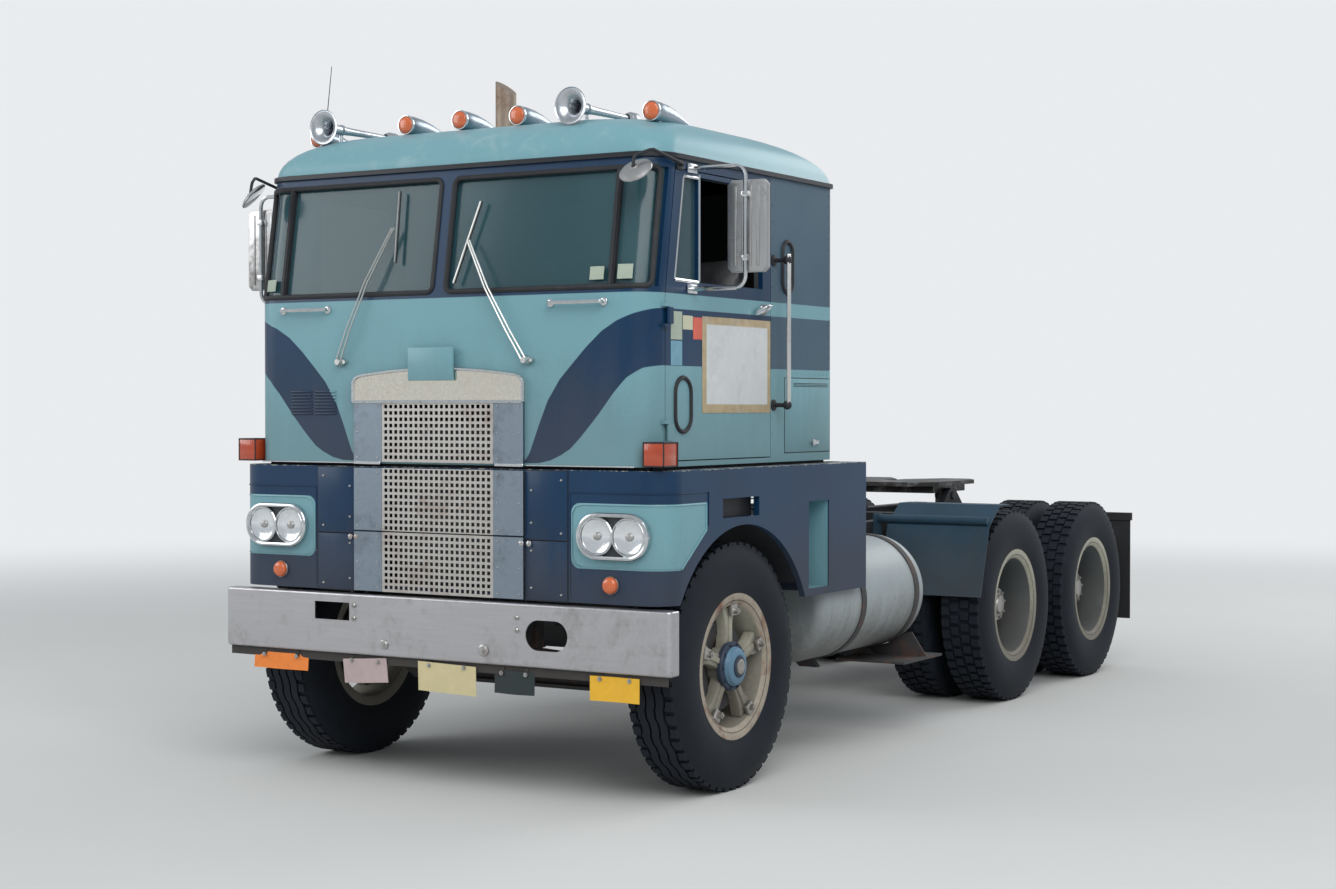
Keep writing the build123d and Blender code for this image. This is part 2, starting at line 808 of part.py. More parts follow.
def cab_plan(inset, y_front):
    half = cab_half_width - inset
    sketch = Polygon(
        (-half, y_front + inset), (half, y_front + inset),
        (half, cab_rear - inset), (-half, cab_rear - inset), align=None,
    )
    by_y = sketch.vertices().group_by(Axis.Y)
    sketch = fillet(by_y[0], cab_corner - inset)
    rear = max(cab_rear_corner - inset, 4)
    return fillet(sketch.vertices().sort_by(Axis.Y)[-2:], rear)


def cab_solid(inset):
    # upright below the belt, with the front leaning back from belt to gutter
    low = extrude(Plane.XY.offset(cab_bottom) * cab_plan(inset, cab_front_y), belt - cab_bottom)
    upper = loft(
        [
            Plane.XY.offset(belt) * cab_plan(inset, cab_front_y),
            Plane.XY.offset(gutter) * cab_plan(inset, cab_front_y + cab_rake),
        ],
        ruled=True,
    )
    return low + upper


def lean(z):
    # how far the front has moved back at a height above the belt
    return cab_rake * max(z - belt, 0) / (gutter - belt)


def door_outline(gap):
    # side view of the door opening, its front edge leaning with the windshield above the belt
    return [
        (door_front + gap, door_bottom + gap), (door_rear - gap, door_bottom + gap),
        (door_rear - gap, door_top - gap), (door_front + gap + lean(door_top), door_top - gap),
        (door_front + gap, belt),
    ]


def window_outline(gap):
    tilt = lean(window_top) * 0.95
    return [
        (window_front + gap, window_bottom + gap), (window_rear - gap, window_bottom + gap),
        (window_rear - gap, window_top - gap), (window_front + tilt + gap, window_top - gap),
    ]


def windshield_cuts(gap):
    # the main pane and the corner pane of one side, as blocks that cut the front wall
    z = (windshield_bottom + gap, windshield_top - gap)
    main = block((post_half + gap, corner_post_in - gap), (-100, 320), z)
    slope = lean(windshield_top)
    corner = prism_x(
        [
            (-100, z[0]), (corner_glass_rear - gap, z[0]),
            (corner_glass_rear - gap + slope, z[1]), (-100, z[1]),
        ],
        (corner_post_out + gap, cab_half_width + 40),
    )
    return [main, corner]


def hinge_barrels():
    # the door's half of its two hinges, before the pins' bore is cut
    leaf_y = (hinge_y + 2, hinge_y + 42)
    pieces = []
    for z in hinge_heights:
        span = (z - hinge_length / 2, z + hinge_length / 2)
        leaf = block((cab_half_width - 5, hinge_x), leaf_y, span)
        bore = rod_z(hinge_pin + pin_clearance, hinge_x, hinge_y, (span[0] - 1, span[1] + 1))
        pieces.append(leaf + rod_z(hinge_radius, hinge_x, hinge_y, span) - bore)
    return pieces


def hinge_lugs():
    # the cab's half: a lug above and below each barrel, with the pin through them
    pieces = []
    for z in hinge_heights:
        reach = hinge_length / 2 + 15
        pin = rod_z(hinge_pin, hinge_x, hinge_y, (z - reach, z + reach))
        for end in (-1, 1):
            span = sorted((z + end * (hinge_length / 2 + 2), z + end * reach))
            pin += block((hinge_x - 9, hinge_x + 6), (door_front - 30, hinge_y + 8), span)
            pin += block((cab_half_width - 8, hinge_x - 8), (door_front - 30, door_front - 3), span)
        pieces.append(pin)
    return pieces


def build_cab():
    shell = cab_solid(0) - cab_solid(cab_wall)
    opening = prism_x(door_outline(0), (cab_half_width - 200, cab_half_width + 50))
    leaf = prism_x(door_outline(door_gap), (cab_half_width - 200, cab_half_width + 50))
    window = prism_x(window_outline(0), (cab_half_width - 200, cab_half_width + 50))

    front = shell & prism_x(
        [
            (-200, cab_bottom - 1), (door_front, cab_bottom - 1), (door_front, belt),
            (door_front + lean(gutter), gutter + 1), (-200, gutter + 1),
        ],
        (-2000, 2000),
    )
    for cut in windshield_cuts(0):
        front = front - cut - mirrored(cut)
    front -= block(
        (-mesh_half_width, mesh_half_width), (-10, cab_front_y + cab_wall + 1),
        (cab_bottom + 16, header_bottom - 10),
    )

    back = shell & block((-2000, 2000), (cab_rear - cab_wall, cab_rear + 1), (cab_bottom, gutter))
    back -= block(
        (-tunnel_half_width + tunnel_wall, tunnel_half_width - tunnel_wall),
        (cab_rear - 100, cab_rear + 10), (cab_bottom - 1, tunnel_top - tunnel_wall),
    )

    side_region = prism_x(
        [
            (door_front, cab_bottom - 1), (cab_rear - cab_wall, cab_bottom - 1),
            (cab_rear - cab_wall, gutter + 1), (door_front + lean(gutter), gutter + 1), (door_front, belt),
        ],
        (cab_half_width - 200, cab_half_width + 50),
    )
    side = (shell & side_region) - opening
    door = (shell & leaf) - window

    glazing = cab_solid(18) - cab_solid(18 + glass_thickness)
    panes = []
    for cut in windshield_cuts(seat_gap):
        panes += both_sides(glazing & cut)
    vent = [
        (window_front + seat_gap, window_bottom + seat_gap), (vent_bar - vent_bar_width / 2, window_bottom + seat_gap),
        (vent_bar - vent_bar_width / 2, window_top - seat_gap),
        (window_front + lean(window_top) * 0.95 + seat_gap, window_top - seat_gap),
    ]
    sheet_x = (cab_half_width - 24, cab_half_width - 18)
    vent_pane = prism_x(vent, sheet_x)
    main_pane = block(
        sheet_x, (vent_bar + vent_bar_width / 2, window_rear - seat_gap),
        (window_bottom + seat_gap, window_top - seat_gap),
    )
    bar = block(
        (cab_half_width - cab_wall, cab_half_width),
        (vent_bar - vent_bar_width / 2 + seat_gap, vent_bar + vent_bar_width / 2 - seat_gap),
        (window_bottom, window_top),
    )
    door += bar
    for barrel in hinge_barrels():
        door += barrel
    for lug in hinge_lugs():
        front += lug
        front += mirrored(lug)

    floor = extrude(
        Plane.XY.offset(cab_bottom + 6) * cab_plan(cab_wall + seat_gap, cab_front_y), floor_thickness
    )
    tunnel_y = (cab_front_y + cab_wall + seat_gap, cab_rear - cab_wall - seat_gap)
    inner = tunnel_half_width - tunnel_wall
    tunnel = block((-tunnel_half_width, tunnel_half_width), tunnel_y, (cab_bottom + 6, tunnel_top))
    floor = floor + tunnel
    floor -= block((-inner, inner), (0, cab_rear), (cab_bottom - 1, tunnel_top - tunnel_wall))
    arm = prism_x(
        [
            (pivot_y - 30, pivot_z + 22), (pivot_y + arm_reach - 40, cab_bottom + 6),
            (pivot_y + arm_reach + 90, cab_bottom + 6), (pivot_y + 22, pivot_z - 30),
        ],
        (arm_inner, arm_inner + arm_thickness),
    )
    arm += rod_x(38, (arm_inner, arm_inner + arm_thickness), pivot_y, pivot_z)
    arm -= rod_x(pivot_pin + pin_clearance, (arm_inner - 1, arm_inner + arm_thickness + 1), pivot_y, pivot_z)
    floor = floor + arm + mirrored(arm)

    return {
        "cab_front": [front],
        "cab_sides": both_sides(side),
        "cab_back": [back],
        "cab_floor": [floor],
        "windshield_glass": panes,
        "door_left": [door],
        "door_right": [mirrored(door)],
        "door_glass_left": [vent_pane],
        "door_glass_right": [mirrored(vent_pane), mirrored(main_pane)],
    }


def cab_roof():
    plan = Plane.XY.offset(gutter) * cab_plan(0, cab_front_y + cab_rake)
    dome = extrude(plan, roof_rise)
    dome = fillet(dome.edges().group_by(Axis.Z)[-1], roof_round)
    inner_plan = Plane.XY.offset(gutter) * cab_plan(cab_wall, cab_front_y + cab_rake)
    inner = extrude(inner_plan, roof_rise - cab_wall)
    inner = fillet(inner.edges().group_by(Axis.Z)[-1], 90)
    lip = extrude(Plane.XY.offset(gutter) * cab_plan(-gutter_lip, cab_front_y + cab_rake), gutter_depth)
    lip -= extrude(Plane.XY.offset(gutter - 1) * cab_plan(5, cab_front_y + cab_rake), gutter_depth + 2)
    return [dome - inner + lip]


def upper_grille():
    # mesh below a polished header that carries a blank plate
    mesh = mesh_panel((cab_bottom + 2, header_bottom))
    y = (body_front - grille_depth - 8, body_front - seat_gap)
    header = block((-grille_half_width, grille_half_width), y, (header_bottom, header_top))
    header = fillet(header.edges().filter_by(Axis.Y).group_by(Axis.Z)[-1], 40)
    plate = block((-132, 118), (y[0] - 8, y[0]), (header_top - 46, header_top + 92))
    return [mesh + header + plate]


def marker_lamps():
    # five torpedo lamps along the roof's front and a square lamp at each front corner
    pieces = []
    top = gutter + roof_rise
    for x in (-930, -430, -110, 210, 915):
        y = 330
        lamp = rod_y(38, x, (y, y + 90), top + 38)
        taper = loft(
            [
                Plane.XZ.offset(-(y + 90)) * Pos(x, top + 38) * Circle(38),
                Plane.XZ.offset(-(y + 230)) * Pos(x, top + 8) * Circle(8),
            ],
            ruled=True,
        )
        pieces.append(lamp + taper)
    corner = block((1070, 1165), (cab_front_y - 4, 150), (cab_bottom + 2, 1552))
    corner -= cab_solid(-seat_gap)
    pieces += both_sides(corner)
    return pieces


def air_horns():
    pieces = []
    top = gutter + roof_rise
    for x in (-800, 585):
        axis_z = top + 75
        bell = revolve(
            Plane.YZ.offset(x) * Polygon(
                (240, axis_z), (240, axis_z + 62), (250, axis_z + 66), (300, axis_z + 30),
                (380, axis_z + 18), (700, axis_z + 12), (760, axis_z + 30), (790, axis_z + 30),
                (790, axis_z), align=None,
            ),
            Axis((x, 0, axis_z), (0, 1, 0)),
        )
        legs = [rod_z(8, x, y, (top + seat_gap, axis_z - 8)) for y in (330, 770)]
        pieces.append(bell + legs[0] + legs[1])
    return pieces


def wipers():
    pieces = []
    for pivot, elbow, blade in (
        ((-549, 1902), (-270, 2503), ((-259, 2668), (-248, 2346))),
        ((479, 1899), (156, 2428), ((199, 2600), (90, 2242))),
    ):
        y = cab_front_y - 30
        boss = rod_y(22, pivot[0], (y - 8, cab_front_y - seat_gap), pivot[1])
        run = Vector(elbow[0] - pivot[0], 0, elbow[1] - pivot[1])
        start = Vector(pivot[0], y, pivot[1])
        arm_plane = Plane(origin=start, z_dir=Vector(run.X, 46, run.Z))
        arm = extrude(arm_plane * Rectangle(14, 10), Vector(run.X, 46, run.Z).length)
        pieces.append(boss + arm)
    return pieces


def grab_rails():
    pieces = []
    for x in ((-889, -625), (602, 872)):
        z = 2142
        y = cab_front_y - 32
        wall = cab_front_y - seat_gap
        pieces.append(bent_rod([(x[0], wall, z), (x[0], y, z), (x[1], y, z), (x[1], wall, z)], 9, 16))
    pole_x = cab_half_width + 85
    pole_y = door_rear + 26
    pole = rod_z(14, pole_x, pole_y, (1690, 2400))
    for z in (1706, 2373):
        pole += rod_x(9, (cab_half_width + seat_gap, pole_x), pole_y, z)
    pieces += both_sides(pole)
    return pieces


def mirror_set():
    # a tall head on a bracket tube that stands off the door
    x = 1350
    y = 400
    top = 2722
    low = 2205
    skin = cab_half_width + seat_gap
    tube = bent_rod([(skin, y, top), (x, y, top), (x, y, low), (skin, y, low)], 9, 45)
    head = block((x - 95, x + 95), (y + 12, y + 46), (2270, 2662))
    head = fillet(head.edges().filter_by(Axis.Y), 18)
    clips = [block((x - 14, x + 14), (y - 4, y + 14), (z - 12, z + 12)) for z in (2330, 2600)]
    return tube + head + clips[0] + clips[1]


def spot_mirrors():
    z = 2660
    disc = rod_y(62, 1130, (-60, -46), z)
    route = [
        (1130, -52, z + 30), (1130, -52, z + 88), (1130, 310, z + 72),
        (cab_half_width + seat_gap, 310, z + 72),
    ]
    return both_sides(disc + bent_rod(route, 7, 20))


def seats():
    # two seats on their bases and the bunk mattress behind them
    pieces = []
    for side in (-1, 1):
        x = sorted((side * 500, side * 980))
        floor_top = cab_bottom + 6 + floor_thickness
        base = block(sorted((side * 560, side * 920)), (560, 900), (floor_top + seat_gap, floor_top + 250))
        cushion = block(x, (480, 980), (floor_top + 250, floor_top + 380))
        back = prism_x(
            [
                (880, floor_top + 380), (980, floor_top + 380),
                (1080, floor_top + 950), (1000, floor_top + 960),
            ],
            x,
        )
        pieces.append(base + cushion + back)
    bunk = block((-1000, 1000), (1130, cab_rear - cab_wall - 5), (1760, 1880))
    ledges = block((-1000, -tunnel_half_width - seat_gap), (1130, 1700), (floor_top + seat_gap, 1760))
    pieces.append(bunk + ledges + mirrored(ledges))
    return pieces


def dash():
    wall_y = cab_front_y + cab_wall + seat_gap
    panel = prism_x(
        [(wall_y, 1900), (wall_y, 2120), (260, 2140), (330, 2080), (330, 1960), (240, 1900)], (-930, 930)
    )
    column_plane = Plane(origin=(600, 235, 1960), z_dir=(0, 0.35, 0.75))
    column = extrude(column_plane * Circle(30), 330)
    wheel_plane = Plane(origin=(600, 235 + 0.423 * 330, 1960 + 0.906 * 330), z_dir=(0, 0.35, 0.75))
    ring = wheel_plane * Torus(255, 14)
    bars = [
        extrude(wheel_plane * Rot(0, 0, angle) * Rectangle(500, 26), 10, both=True) for angle in (0, 90)
    ]
    return [panel + column + ring + bars[0] + bars[1]]


# Writing the pieces


def place(part):
    return Pos(0, -length / 2, 0) * part


def write(name, solids):
    group = Compound([solid for item in solids for solid in item.solids()])
    export_step(place(group), "parts/" + name + ".step")


os.makedirs("parts", exist_ok=True)

makers = [
    frame_rails, crossmembers, cab_supports, front_axle, leaf_springs, drive_axles, drive_shafts,
    engine_block, front_bumper, bumper_bar, front_apron, fenders, lower_grille, headlamps, small_lamps,
    fuel_tanks, tank_brackets, quarter_fenders, exhaust_stack, deck_plate, fifth_wheel_base,
    fifth_wheel_plate, mud_flaps, tie_rod, cab_roof, upper_grille, marker_lamps, air_horns, wipers,
    grab_rails, spot_mirrors, seats, dash,
]
for maker in makers:
    write(maker.__name__, maker())

for name, solids in build_cab().items():
    write(name, solids)

wheels = {
    "wheel_front": ([front_wheel()], front_axle_y),
    "tyre_front": ([tyre(front_track_half)], front_axle_y),
}
dual = [drive_wheel()]
dual_tyres = [tyre(dual_outer_x), tyre(dual_inner_x)]
for row, y in zip(("mid", "rear"), drive_axle_y):
    wheels["wheel_" + row] = (dual, y)
    wheels["tyres_" + row] = (dual_tyres, y)
for name, (solids, y) in wheels.items():
    left = [Pos(0, y, 0) * solid for solid in solids]
    write(name + "_left", left)
    write(name + "_right", [mirrored(solid) for solid in left])

hand = {"knuckle": knuckle(), "mirror": mirror_set()}
for name, solid in hand.items():
    write(name + "_left", [solid])
    write(name + "_right", [mirrored(solid)])
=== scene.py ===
import math
from random import Random

import bmesh
import bpy
from mathutils import Matrix, Vector


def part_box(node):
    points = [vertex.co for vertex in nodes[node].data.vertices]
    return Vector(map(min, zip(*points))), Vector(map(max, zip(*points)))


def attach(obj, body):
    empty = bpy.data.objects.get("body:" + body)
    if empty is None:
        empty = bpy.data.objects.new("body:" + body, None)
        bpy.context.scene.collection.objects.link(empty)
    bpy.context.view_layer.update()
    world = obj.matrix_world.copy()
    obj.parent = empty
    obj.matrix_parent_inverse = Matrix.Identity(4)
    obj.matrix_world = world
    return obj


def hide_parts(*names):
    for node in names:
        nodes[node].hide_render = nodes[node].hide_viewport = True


# A cab-over road tractor in two blues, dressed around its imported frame.
# Metres, z up, x to the driver's left hand. The front faces -y. A "station" is the distance
# behind the bumper's face, so stations read the same as on the real truck's side.

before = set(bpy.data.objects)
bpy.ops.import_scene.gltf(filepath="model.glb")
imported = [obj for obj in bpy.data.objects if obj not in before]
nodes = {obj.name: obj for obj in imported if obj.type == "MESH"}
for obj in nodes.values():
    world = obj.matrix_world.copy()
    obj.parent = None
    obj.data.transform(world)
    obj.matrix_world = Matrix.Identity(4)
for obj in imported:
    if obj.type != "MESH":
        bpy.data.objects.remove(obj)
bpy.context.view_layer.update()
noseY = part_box("front_bumper")[0].y
print("frame loaded,", len(nodes), "nodes")

axles = {"front": 0.71, "mid": 4.092, "rear": 5.398}  # stations
wheelHeight = 0.55
cabSkin = {"half": 1.085, "turn": 0.945, "corner": 0.14, "cornerBack": 0.18, "nose": 0.04, "rear": 1.766,
           "belt": 2.18, "lean": 0.09 / 0.575}  # the cab's outer skin, which leans back above the belt

linear = {  # paint and surface colours, as the shader takes them
    "lightBlue": (0.165, 0.335, 0.38),
    "navy": (0.003, 0.029, 0.076),
    "slate": (0.055, 0.105, 0.145),
    "dirt": (0.085, 0.072, 0.058),
    "primer": (0.46, 0.44, 0.38),
    "rust": (0.17, 0.06, 0.022),
    "cream": (0.48, 0.43, 0.33),
    "aluminium": (0.5, 0.49, 0.5),
    "oldAluminium": (0.34, 0.35, 0.37),
    "steel": (0.36, 0.36, 0.37),
    "frameBlack": (0.018, 0.02, 0.024),
    "rubber": (0.007, 0.01, 0.015),
    "amber": (0.56, 0.115, 0.03),
    "deepAmber": (0.38, 0.045, 0.008),
    "red": (0.42, 0.012, 0.012),
    "white": (0.72, 0.72, 0.68),
}


# Geometry helpers

def vertsOf(geom):
    return [item for item in geom if isinstance(item, bmesh.types.BMVert)]


def at(x, station, z):  # a point from its station
    return Vector((x, noseY + station, z))


def addBlock(bm, x, y, z, bevel=0.0, segments=2):  # a bevelled block between two stations
    made = bmesh.ops.create_cube(bm, size=1.0)["verts"]
    middle = at((x[0] + x[1]) / 2, (y[0] + y[1]) / 2, (z[0] + z[1]) / 2)
    bmesh.ops.scale(bm, vec=(abs(x[1] - x[0]), abs(y[1] - y[0]), abs(z[1] - z[0])), verts=made)
    bmesh.ops.translate(bm, vec=middle, verts=made)
    if bevel:
        edges = list({edge for vert in made for edge in vert.link_edges})
        bmesh.ops.bevel(bm, geom=edges, offset=bevel, segments=segments, affect="EDGES",
                        profile=0.5, material=-1)


def addPair(bm, x, y, z, bevel=0.0, segments=2):  # the same block on both sides of the truck
    for side in (-1, 1):
        addBlock(bm, sorted((side * x[0], side * x[1])), y, z, bevel, segments)


def addTurned(bm, profile, centre, axis="X", steps=48, closed=True, arc=2 * math.pi):
    # spins (along, radius) pairs about an axis through centre
    side = {"X": Vector((1, 0, 0)), "Y": Vector((0, 1, 0)), "Z": Vector((0, 0, 1))}[axis]
    out = {"X": Vector((0, 0, 1)), "Y": Vector((0, 0, 1)), "Z": Vector((0, -1, 0))}[axis]
    verts = [bm.verts.new(Vector(centre) + side * along + out * radius) for along, radius in profile]
    loop = list(zip(verts, verts[1:]))
    if closed:
        loop.append((verts[-1], verts[0]))
    edges = [bm.edges.new(pair) for pair in loop]
    bmesh.ops.spin(bm, geom=verts + edges, cent=centre, axis=side, angle=arc,
                   steps=steps, use_merge=arc > 6.28, use_duplicate=False)


def turnNew(bm, before, centre, matrix):  # turns what was added after the verts in before
    made = [vert for vert in bm.verts if vert not in before]
    bmesh.ops.rotate(bm, cent=centre, matrix=matrix, verts=made)
    return made


def addPlate(bm, outline, origin, across, up, thickness, bevel=0.0, segments=2):
    # an outline of (across, up) pairs, given a thickness along across x up
    across, up = Vector(across), Vector(up)
    verts = [bm.verts.new(Vector(origin) + across * a + up * b) for a, b in outline]
    face = bm.faces.new(verts)
    lift = bmesh.ops.extrude_face_region(bm, geom=[face])["geom"]
    moved = vertsOf(lift)
    bmesh.ops.translate(bm, vec=across.cross(up).normalized() * thickness, verts=moved)
    if bevel:
        edges = [item for item in lift if isinstance(item, bmesh.types.BMEdge)]
        bmesh.ops.bevel(bm, geom=edges, offset=bevel, segments=segments, affect="EDGES",
                        profile=0.5, material=-1)


def ovalOutline(width, height, steps=10):  # a slot with round ends, as (across, up) pairs
    radius = min(width, height) / 2
    half = max(width, height) / 2 - radius
    pairs = []
    for end, turn in ((half, 0), (-half, math.pi)):
        for number in range(steps + 1):
            angle = turn - math.pi / 2 + math.pi * number / steps
            pairs.append((end + radius * math.cos(angle), radius * math.sin(angle)))
    if height > width:
        pairs = [(-up, across) for across, up in pairs]
    return pairs


def addRod(bm, start, end, radius, sides=12, tip=None):
    # a straight bar between two points, with its ends closed
    start, end = Vector(start), Vector(end)
    run = end - start
    turn = run.to_track_quat("Z", "Y").to_matrix().to_4x4()
    place = Matrix.Translation((start + end) / 2) @ turn
    bmesh.ops.create_cone(bm, cap_ends=True, segments=sides, radius1=radius,
                          radius2=radius if tip is None else tip, depth=run.length, matrix=place)


def addRivets(bm, points, normal, radius=0.006, height=0.0035, sides=8):
    # low domes of a few faces each, standing on a surface
    turn = Vector(normal).to_track_quat("Z", "Y").to_matrix().to_4x4()
    for point in points:
        low = Matrix.Translation(Vector(point) + Vector(normal).normalized() * height * 0.3) @ turn
        bmesh.ops.create_cone(bm, cap_ends=True, segments=sides, radius1=radius,
                              radius2=radius * 0.55, depth=height * 1.4, matrix=low)


def addNut(bm, point, normal, radius=0.016, height=0.014):  # a hexagon nut on a round washer
    point, normal = Vector(point), Vector(normal).normalized()
    turn = normal.to_track_quat("Z", "Y").to_matrix().to_4x4()
    for size, low, high, sides in ((radius * 1.35, 0.0, 0.003, 14), (radius, 0.003, height, 6),
                                   (radius * 0.5, height, height + 0.006, 8)):
        place = Matrix.Translation(point + normal * (low + high) / 2) @ turn
        bmesh.ops.create_cone(bm, cap_ends=True, segments=sides, radius1=size, radius2=size * 0.94,
                              depth=high - low, matrix=place)


def roundedRoute(points, bend, segments=6):  # a route whose corners are turned to arcs
    bm = bmesh.new()
    verts = [bm.verts.new(point) for point in points]
    for pair in zip(verts, verts[1:]):
        bm.edges.new(pair)
    if len(verts) > 2:
        bmesh.ops.bevel(bm, geom=verts[1:-1], offset=bend, segments=segments, affect="VERTICES",
                        profile=0.5, material=-1)
    start = min(bm.verts, key=lambda vert: (vert.co - Vector(points[0])).length)
    ordered, last = [start.co.copy()], None
    vert = start
    while True:
        onward = [edge for edge in vert.link_edges if edge is not last]
        if not onward:
            break
        last = onward[0]
        vert = last.other_vert(vert)
        ordered.append(vert.co.copy())
    bm.free()
    return ordered


def addTube(bm, points, radius, bend=0.0, sides=10, closed=False):
    # a bent tube: a curve with a round section, taken over as a mesh
    route = roundedRoute([Vector(point) for point in points], bend) if bend else points
    line = bpy.data.curves.new("route", "CURVE")
    line.dimensions = "3D"
    spline = line.splines.new("POLY")
    spline.points.add(len(route) - 1)
    for knot, point in zip(spline.points, route):
        knot.co = (*point, 1.0)
    spline.use_cyclic_u = closed
    line.bevel_depth = radius
    line.bevel_resolution = max(0, sides // 4 - 1)
    line.use_fill_caps = not closed
    holder = bpy.data.objects.new("route", line)
    mesh = bpy.data.meshes.new_from_object(holder)
    bm.from_mesh(mesh)
    bpy.data.objects.remove(holder)
    bpy.data.meshes.remove(mesh)
    bpy.data.curves.remove(line)


def mirrorAcross(bm, keep=True):  # the same again on the other side of the truck
    geom = bm.verts[:] + bm.edges[:] + bm.faces[:]
    made = bmesh.ops.duplicate(bm, geom=geom)["geom"] if keep else geom
    bmesh.ops.scale(bm, vec=(-1, 1, 1), verts=vertsOf(made))
    faces = [item for item in made if isinstance(item, bmesh.types.BMFace)]
    bmesh.ops.reverse_faces(bm, faces=faces)


def turnOver(side, *parts):  # parts are made for the left; on the right each becomes its mirror image
    if side == "right":
        for bm in parts:
            mirrorAcross(bm, keep=False)


def finishPiece(name, bm, finish, body, replaces=(), smooth=30, weld=0.0):
    # turns a bmesh into a finished piece that rides on its body
    if weld:
        bmesh.ops.remove_doubles(bm, verts=bm.verts[:], dist=weld)
    bmesh.ops.recalc_face_normals(bm, faces=bm.faces[:])
    mesh = bpy.data.meshes.new(name)
    bm.to_mesh(mesh)
    bm.free()
    piece = bpy.data.objects.new(name, mesh)
    bpy.context.scene.collection.objects.link(piece)
    mesh.materials.append(finishes[finish])
    for face in mesh.polygons:
        face.use_smooth = True
    mesh.set_sharp_from_angle(angle=math.radians(smooth))
    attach(piece, body)
    if replaces:
        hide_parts(*replaces)
    return piece


# Materials: an expression on values adds its Math nodes

class Value:
    def __init__(self, finish, socket):
        self.finish, self.socket = finish, socket

    def maths(self, operation, *others, first=None):
        items = ([first] if first is not None else []) + [self, *others]
        return self.finish.node("ShaderNodeMath", {"operation": operation}, dict(enumerate(items)))

    def __add__(self, other): return self.maths("ADD", other)
    def __radd__(self, other): return self.maths("ADD", other)
    def __sub__(self, other): return self.maths("SUBTRACT", other)
    def __rsub__(self, other): return self.maths("SUBTRACT", first=other)
    def __mul__(self, other): return self.maths("MULTIPLY", other)
    def __rmul__(self, other): return self.maths("MULTIPLY", other)
    def __truediv__(self, other): return self.maths("DIVIDE", other)
    def __rtruediv__(self, other): return self.maths("DIVIDE", first=other)
    def __abs__(self): return self.maths("ABSOLUTE")


class Finish:
    # one material: its shader, and short calls for the nodes that feed it
    def __init__(self, name, **constants):
        self.material = bpy.data.materials.new(name)
        self.material.use_nodes = True
        self.tree = self.material.node_tree
        self.tree.nodes.clear()
        self.shader = self.tree.nodes.new("ShaderNodeBsdfPrincipled")
        output = self.tree.nodes.new("ShaderNodeOutputMaterial")
        self.tree.links.new(self.shader.outputs[0], output.inputs["Surface"])
        coordinates = self.tree.nodes.new("ShaderNodeTexCoord")
        self.place = Value(self, coordinates.outputs["Object"])
        for socket, value in constants.items():
            self.set(socket.replace("_", " "), value)

    def feed(self, socket, item):
        if isinstance(item, Value):
            self.tree.links.new(item.socket, socket)
        elif isinstance(item, tuple) and len(item) == 3 and socket.type == "RGBA":
            socket.default_value = (*item, 1.0)
        else:
            socket.default_value = item

    def node(self, kind, settings, inputs, output=0):
        made = self.tree.nodes.new(kind)
        for name, value in settings.items():
            if name == "stops":
                self.fillRamp(made.color_ramp, value)
            else:
                setattr(made, name, value)
        for name, item in inputs.items():
            self.feed(made.inputs[name], item)
        return Value(self, made.outputs[output])

    def fillRamp(self, ramp, stops):
        while len(ramp.elements) < len(stops):
            ramp.elements.new(1.0)
        for element, (position, colour) in zip(ramp.elements, sorted(stops, key=lambda stop: stop[0])):
            element.position = position
            element.color = (*colour, 1.0) if isinstance(colour, tuple) else (colour, colour, colour, 1.0)

    def set(self, socket, item):
        self.feed(self.shader.inputs[socket], item)

    def split(self):
        cut = self.tree.nodes.new("ShaderNodeSeparateXYZ")
        self.feed(cut.inputs[0], self.place)
        return [Value(self, cut.outputs[index]) for index in range(3)]

    def stretched(self, size):
        return self.node("ShaderNodeMapping", {}, {"Vector": self.place, "Scale": size})

    def noise(self, scale, detail=4.0, rough=0.55, distort=0.0, vector=None):
        return self.node("ShaderNodeTexNoise", {}, {"Vector": vector or self.place, "Scale": scale,
                         "Detail": detail, "Roughness": rough, "Distortion": distort}, "Fac")

    def cells(self, scale):
        return self.node("ShaderNodeTexVoronoi", {}, {"Vector": self.place, "Scale": scale}, "Distance")

    def ramp(self, value, stops):
        return self.node("ShaderNodeValToRGB", {"stops": stops}, {"Fac": value})

    def step(self, value, low, high):  # 0 below low, 1 above high, smooth between
        return self.node("ShaderNodeMapRange", {"interpolation_type": "SMOOTHSTEP"},
                         {"Value": value, "From Min": low, "From Max": high})

    def inside(self, value, low, high, soft=0.0015):  # 1 between two limits
        return self.step(value, low - soft, low + soft) * (1 - self.step(value, high - soft, high + soft))

    def mix(self, factor, first, second):
        return self.node("ShaderNodeMix", {"data_type": "RGBA"}, {0: factor, 6: first, 7: second}, 2)

    def tint(self, colour, value, spread=0.25):  # the same colour, a little lighter and darker
        darker = tuple(part * (1 - spread) for part in colour)
        lighter = tuple(min(1.0, part * (1 + spread)) for part in colour)
        return self.mix(value, darker, lighter)

    def bump(self, height, strength=0.3, distance=0.002):
        self.set("Normal", self.node("ShaderNodeBump", {}, {"Height": height, "Strength": strength,
                                                            "Distance": distance}, "Normal"))


def dirtMask(finish, top, bottom, amount=1.0):
    # road dirt: rises towards the ground, broken up by streaks
    z = finish.split()[2]
    low = 1 - finish.step(z, bottom, top)
    streaks = finish.noise(9.0, 6.0, 0.62, 0.4, finish.stretched((1, 1, 0.16)))
    spots = finish.noise(38.0, 5.0, 0.7)
    return finish.step(low * 0.6 + streaks * 0.45 + spots * 0.25, 0.46, 0.95) * amount


